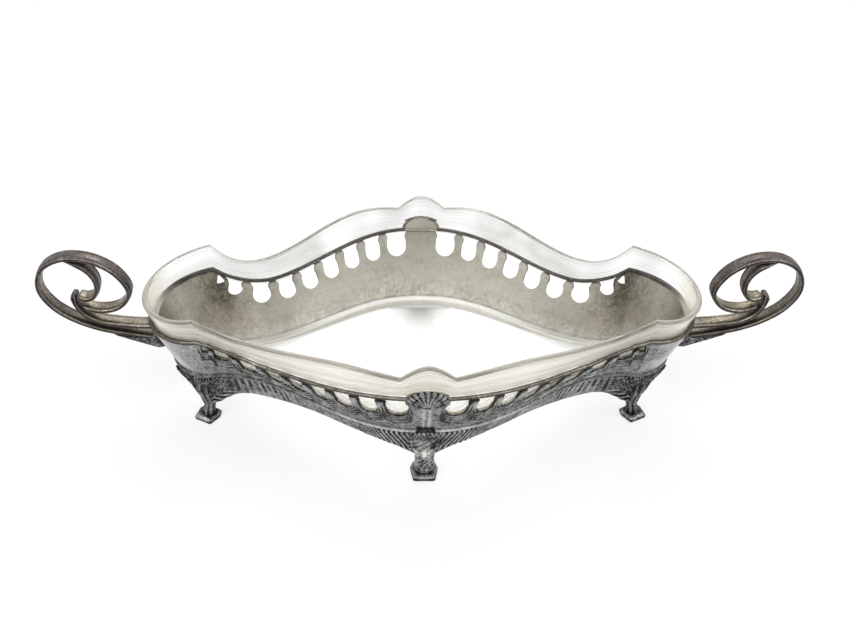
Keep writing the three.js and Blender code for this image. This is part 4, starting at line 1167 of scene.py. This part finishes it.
# The glass liner
# One moulded vessel of clear soda-lime glass with a wavy fire-polished rim. Above the metal a
# faint, warm, milky look is painted in as reflection, with fine lines along it. Below it is clear,
# and its base is ground.
GLASS_PEAK_Z = 105.3
GLASS_NOTCH_X = 15.0
GLASS_NOTCH_Z = 96.4
GLASS_PEAK_POWER = 1.7
GLASS_SHOULDER_X = 38.0
GLASS_SHOULDER_Z = 98.7
GLASS_DIP_X = 104.0
GLASS_DIP_Z = 84.8
GLASS_RISE_POWER = 2.2
GLASS_CORNER_Z = 98.5
GLASS_END_Z = 92.0
SEAT_Z = 30.5
GLASS_WALL = 3.5
GLASS_FLOOR = 5.0
GLASS_CLEARANCE = 1.0
GLASS_RIM_FLARE = 1.6
GLASS_CROWN = 1.3
GLASS_FOOT_ROUND = 1.2
GLASS_FLOOR_ROUND_IN = 0.6
GLASS_FLOOR_ROUND_UP = 1.5
GLASS_LINES = ((0.95, 1.0), (0.84, 0.7), (0.6, 0.35), (0.44, 0.8), (0.2, 0.3))
GLASS_LINE_WIDTH = 0.025
GLASS_LINE_DEPTH = 0.2
RISE = np.linspace(0.1, 1, 40)[None, :]


def glass_top(s):
    """Height of the glass's rim: along a side a peak, a notch, a shoulder, a dip and a rise to the
    corner, and on an end a fall to the tip by the square of the distance left to it."""
    rim = rim_at(s)
    x = np.abs(rim["x"])
    peak = GLASS_PEAK_Z - (GLASS_PEAK_Z - GLASS_NOTCH_Z) * (x / GLASS_NOTCH_X) ** GLASS_PEAK_POWER
    along = np.clip((x - GLASS_NOTCH_X) / (GLASS_SHOULDER_X - GLASS_NOTCH_X), 0, 1)
    shoulder = GLASS_NOTCH_Z + (GLASS_SHOULDER_Z - GLASS_NOTCH_Z) * np.sin(np.pi / 2 * along)
    fall = (x - GLASS_SHOULDER_X) / (GLASS_DIP_X - GLASS_SHOULDER_X)
    dip = GLASS_DIP_Z + (GLASS_SHOULDER_Z - GLASS_DIP_Z) * cosine_step(fall)
    past = np.clip((x - GLASS_DIP_X) / (CORNER_X - GLASS_DIP_X), 0, 1)
    rise = GLASS_DIP_Z + (GLASS_CORNER_Z - GLASS_DIP_Z) * past**GLASS_RISE_POWER
    left = np.clip((TIP_S - rim["along"]) / (TIP_S - CORNER_S), 0, 1)
    end = GLASS_END_Z + (GLASS_CORNER_Z - GLASS_END_Z) * left**2
    places = [x < GLASS_NOTCH_X, x < GLASS_SHOULDER_X, x < GLASS_DIP_X, rim["along"] < CORNER_S]
    return np.select(places, [peak, shoulder, dip, rise], end)


def liner():
    """Rings from the outer foot up over the rim and down to the inner floor, as columns of a grid
    that goes round the vessel, how much painted reflection each of its points has, and a mark that
    is a half on the crown of the rim."""
    base = SEAT_Z + GAP
    seat = skirt_offset(base) - WALL - GLASS_CLEARANCE
    ridge = -RIDGE_INSET - WALL - GLASS_CLEARANCE
    rim_side = -WALL - GLASS_CLEARANCE
    s = around[:, None]
    metal = rim_at(s)["z"]
    top = glass_top(s)
    turn = np.radians(np.linspace(0, 90, 6))[None, :]
    foot_side = seat - GLASS_FOOT_ROUND * (1 - np.sin(turn))
    foot_z = base + GLASS_FOOT_ROUND * (1 - np.cos(turn))
    line = sum(deep * bell(RISE, at, GLASS_LINE_WIDTH) for at, deep in GLASS_LINES)
    outer = rim_side + (GLASS_RIM_FLARE - rim_side) * RISE - GLASS_LINE_DEPTH * line
    outer_z = metal + (top - GLASS_CROWN - metal) * RISE
    over = np.radians(np.linspace(12, 168, 12))[None, :]
    crown = GLASS_RIM_FLARE - GLASS_WALL / 2 + GLASS_WALL / 2 * np.cos(over)
    crown_z = top - GLASS_CROWN + GLASS_CROWN * np.sin(over)
    # Painted reflection: a band above the metal, less along the fine lines.
    reflection_band = fade(RISE, -0.15, 0.15) - 0.3 * line
    half_way = (RIDGE_Z + metal) / 2
    inner_foot = seat - GLASS_WALL
    floor_z = base + GLASS_FLOOR
    levels = [
        (foot_side, foot_z, 0, 0),
        (ridge, RIDGE_Z, 0, 0),
        ((ridge + rim_side) / 2, half_way, 0.25, 0),
        (rim_side, metal, 0.4, 0),
        (outer, outer_z, reflection_band, 0),
        (crown, crown_z, 1, 0.5),
        (outer[:, ::-1] - GLASS_WALL, outer_z[:, ::-1], reflection_band[:, ::-1], 0),
        (rim_side - GLASS_WALL, metal, 0, 0),
        ((ridge + rim_side) / 2 - GLASS_WALL, half_way, 0, 0),
        (ridge - GLASS_WALL, RIDGE_Z + 1, 0, 0),
        (inner_foot + GLASS_FLOOR_ROUND_IN, floor_z + GLASS_FLOOR_ROUND_UP, 0, 0),
        (inner_foot, floor_z, 0, 0),
    ]
    wide = [np.broadcast_arrays(*[value + 0 * s for value in level]) for level in levels]
    offset, z, painted_reflection, marked = [np.concatenate(column, axis=1) for column in zip(*wide)]
    return beside(s, offset, z), painted_reflection, marked


def flat_across(ring):
    """A flat grid inside a ring that is alike in four quarters: each row joins a point to its
    mirror image over the long axis."""
    near = ring[ring[:, 1] >= -1e-6]
    near = near[np.argsort(near[:, 0])]
    t = np.linspace(1, -1, 13)[None, :]
    x = near[:, :1] + 0 * t
    return np.stack([x, near[:, 1:2] * t, near[0, 2] + 0 * x], axis=-1)


def welded(points, faces):
    """The first of each group of points that are alike, faces with four sides and with three."""
    keys = np.round(points / 0.004).astype(np.int64)
    _, first, merged = np.unique(keys, axis=0, return_index=True, return_inverse=True)
    faces = merged.ravel()[faces]
    ordered = np.sort(faces, axis=1)
    full = np.all(ordered[:, 1:] != ordered[:, :-1], axis=1)
    narrow = [list(dict.fromkeys(face)) for face in faces[~full].tolist()]
    return first, faces[full], [face for face in narrow if len(face) == 3]


# Tones of the painted reflection: a wavy grey tint and a warm cream.
WAVY_REFLECTION_TONES = {0.0: "#f6f6f5", 0.38: "#bcbcba", 0.54: "#d4d4d3", 0.7: "#eeeeee"}
REFLECTION_TONES = {0.0: "#ffffff", 0.25: "#e0dacb", 0.6: "#f0ebdf"}
# Painted shade: a grey band on the crown of the rim.
CROWN_SHADE_TONES = {0.0: "#ffffff", 0.4: "#cfcecd", 0.55: "#cfcecd", 0.7: "#ffffff"}


def clear_glass(name):
    """Clear soda-lime glass, moulded and fire-polished: index 1.52, almost smooth, with a painted
    grey shade on the crown of the rim and a finely ground base. Where a reflection is painted in,
    part of it is a warm diffuse colour, most where the eye goes through it at a slant."""
    wave_mm = 38.0
    material, tree, shader = new_material(name)
    reflection_band = add(tree, "ShaderNodeAttribute", attribute_name="wear_and_painted_light").outputs["Fac"]
    marked = add(tree, "ShaderNodeAttribute", attribute_name="inside").outputs["Fac"]
    slant = add(tree, "ShaderNodeLayerWeight", {"Blend": 0.5}).outputs["Facing"]
    slant_sockets = {"Value": slant, "From Min": 0.15, "From Max": 0.5, "To Max": 0.62}
    most = add(tree, "ShaderNodeMapRange", slant_sockets)
    # Share of the painted reflection, which turns part of the glass into a warm diffuse colour.
    reflection_share = add(tree, "ShaderNodeMath", {0: reflection_band, 1: most}, operation="MULTIPLY")
    clearness = add(tree, "ShaderNodeMath", {0: 1.0, 1: reflection_share}, operation="SUBTRACT")
    ground_sockets = {"Value": marked, "From Min": 0.6, "To Min": 0.02, "To Max": 1.0}
    ground = add(tree, "ShaderNodeMapRange", ground_sockets)
    place = add(tree, "ShaderNodeTexCoord").outputs["Object"]
    wave_sockets = {"Vector": place, "Scale": 1 / (wave_mm * MM), "Detail": 1.0}
    waviness = add(tree, "ShaderNodeTexNoise", wave_sockets)
    wavy_reflection = add(tree, "ShaderNodeMath", {0: reflection_band, 1: waviness}, operation="MULTIPLY")
    tint = add(tree, "ShaderNodeValToRGB", {"Fac": wavy_reflection}, WAVY_REFLECTION_TONES)
    tone = add(tree, "ShaderNodeValToRGB", {"Fac": reflection_share}, REFLECTION_TONES)
    crown_shade = add(tree, "ShaderNodeValToRGB", {"Fac": marked}, CROWN_SHADE_TONES)
    weight = add(tree, "ShaderNodeMapRange", {"Value": reflection_share, "From Max": 0.3})
    colour = add(tree, "ShaderNodeMix", {0: weight, 6: tint, 7: tone}, data_type="RGBA").outputs[2]
    shades = {0: 1.0, 6: colour, 7: crown_shade}
    shaded = add(tree, "ShaderNodeMix", shades, data_type="RGBA", blend_type="MULTIPLY").outputs[2]
    bump_sockets = {"Height": waviness, "Strength": 0.3, "Distance": 0.6 * MM}
    bump = add(tree, "ShaderNodeBump", bump_sockets)
    looks = {"Base Color": shaded, "Roughness": ground, "Normal": bump, "IOR": 1.52}
    fill(tree, shader, {**looks, "Transmission Weight": clearness})
    shadow_ray = add(tree, "ShaderNodeLightPath").outputs["Is Shadow Ray"]
    clear = add(tree, "ShaderNodeBsdfTransparent", {"Color": linear("#e9e9e6")})
    mixed = add(tree, "ShaderNodeMixShader", {0: shadow_ray, 1: shader, 2: clear})
    fill(tree, tree.nodes["Material Output"], {"Surface": mixed})
    return material


side_grid, painted_reflection, marked = liner()
foot_grid = flat_across(side_grid[:, 0])
floor_grid = flat_across(side_grid[:, -1])
grids = [side_grid, foot_grid, floor_grid]
points = np.concatenate([grid.reshape(-1, 3) for grid in grids])
starts = np.cumsum([0] + [grid.shape[0] * grid.shape[1] for grid in grids])
side_faces = grid_faces(*side_grid.shape[:2], close_rows=True)
foot_faces = grid_faces(*foot_grid.shape[:2])[:, ::-1] + starts[1]
floor_faces = grid_faces(*floor_grid.shape[:2]) + starts[2]
faces = np.concatenate([side_faces, foot_faces, floor_faces])
painted_reflection = np.concatenate([painted_reflection.ravel(), np.zeros(starts[3] - starts[1])])
base_mark, floor_mark = 1.0, 0.0
flat_marks = np.repeat([base_mark, floor_mark], np.diff(starts)[1:])
marked = np.concatenate([marked.ravel(), flat_marks])
first, four_sided, three_sided = welded(points, faces)
vessel_mesh = (points[first], four_sided, three_sided)
vessel = make_piece("glass_liner_vessel", *vessel_mesh, painted_reflection[first], marked[first], sharp=60)
finish_piece(vessel, clear_glass("clear soda-lime glass"), "glass", "liner", "glass_liner")


# The photographer's stand
# A plain pale table, soft lamps and a camera at the photograph's angle.
TABLE_REACH = 6.0
table_signs = ((-1, -1), (1, -1), (1, 1), (-1, 1))
table_corners = [(TABLE_REACH * x, TABLE_REACH * y, 0) for x, y in table_signs]
table_mesh = bpy.data.meshes.new("pale_table")
table_mesh.from_pydata(table_corners, [], [(0, 1, 2, 3)])
table_top = add_object("pale_table", table_mesh)


def seen_or_mirrored(tree):
    """1 for rays from the camera and for those that a mirror or glass passes on, otherwise 0."""
    path = add(tree, "ShaderNodeLightPath").outputs
    rays = {0: path["Is Camera Ray"], 1: path["Is Transmission Ray"]}
    seen = add(tree, "ShaderNodeMath", rays, operation="MAXIMUM")
    rays = {0: seen, 1: path["Is Glossy Ray"]}
    return add(tree, "ShaderNodeMath", rays, operation="MAXIMUM")


paper, tree, sheet_shader = new_material("white paper")
fill(tree, sheet_shader, {"Base Color": linear("#f4f4f4"), "Roughness": 0.9})
share = add(tree, "ShaderNodeMath", {0: seen_or_mirrored(tree), 1: 0.72}, operation="MULTIPLY")
through_glass = add(tree, "ShaderNodeLightPath").outputs["Is Transmission Ray"]
glow_sockets = {"Value": through_glass, "To Min": 1.0, "To Max": 1.6}
glow_strength = add(tree, "ShaderNodeMapRange", glow_sockets)
glow = add(tree, "ShaderNodeEmission", {"Strength": glow_strength})
table_mix = add(tree, "ShaderNodeMixShader", {0: share, 1: sheet_shader, 2: glow})
fill(tree, tree.nodes["Material Output"], {"Surface": table_mix})
table_mesh.materials.append(paper)

world = bpy.data.worlds.new("studio")
bpy.context.scene.world = world
world.use_nodes = True
tree = world.node_tree
strength_sockets = {"Value": seen_or_mirrored(tree), "To Min": 0.62, "To Max": 1.0}
strength = add(tree, "ShaderNodeMapRange", strength_sockets)
fill(tree, tree.nodes["Background"], {"Color": linear("#ffffff"), "Strength": strength})

LAMP_AIM = (0, 0, 0.05)
LAMPS = (
    ("key", (-0.7, -0.5, 1.3), 0.9, 9.0),
    ("fill", (0.9, -0.3, 1.0), 0.8, 5.0),
    ("back", (0.1, 0.9, 1.2), 0.9, 6.0),
)
for name, place, size, watts in LAMPS:
    lamp_data = bpy.data.lights.new(name, "AREA")
    lamp_data.shape = "DISK"
    lamp_data.size = size
    lamp_data.energy = watts
    lamp = add_object(name, lamp_data)
    direction = Vector(LAMP_AIM) - Vector(place)
    lamp.location = place
    lamp.rotation_euler = direction.to_track_quat("-Z", "Y").to_euler()

CAMERA_TILT = np.radians(40.0)
CAMERA_TURN = np.radians(2.575)
CAMERA_ROLL = np.radians(1.639)
CAMERA_DISTANCE = 603.4
CAMERA_AIM = (0.92, 0.0, 68.78)
LENS_IN_PIXELS = 968.32
IMAGE_WIDTH = 850
SENSOR_WIDTH = 36.0
ahead = np.array([0.0, np.cos(CAMERA_TILT), -np.sin(CAMERA_TILT)])
above = np.array([0.0, np.sin(CAMERA_TILT), np.cos(CAMERA_TILT)])
right = np.array([1.0, 0.0, 0.0])
rolled_right = right * np.cos(CAMERA_ROLL) + above * np.sin(CAMERA_ROLL)
rolled_above = above * np.cos(CAMERA_ROLL) - right * np.sin(CAMERA_ROLL)
turn_c, turn_s = np.cos(CAMERA_TURN), np.sin(CAMERA_TURN)
turned = np.array([[turn_c, turn_s, 0.0], [-turn_s, turn_c, 0.0], [0.0, 0.0, 1.0]])
stand_at = np.array(CAMERA_AIM) - CAMERA_DISTANCE * ahead
camera_data = bpy.data.cameras.new("camera")
camera_data.sensor_width = SENSOR_WIDTH
camera_data.lens = LENS_IN_PIXELS / IMAGE_WIDTH * SENSOR_WIDTH
camera = add_object("camera", camera_data)
matrix = np.eye(4)
matrix[:3, :3] = turned @ np.stack([rolled_right, rolled_above, -ahead], axis=1)
matrix[:3, 3] = turned @ stand_at * MM
camera.matrix_world = Matrix(matrix.tolist())
bpy.context.scene.camera = camera
bpy.context.scene.view_settings.view_transform = "Standard"
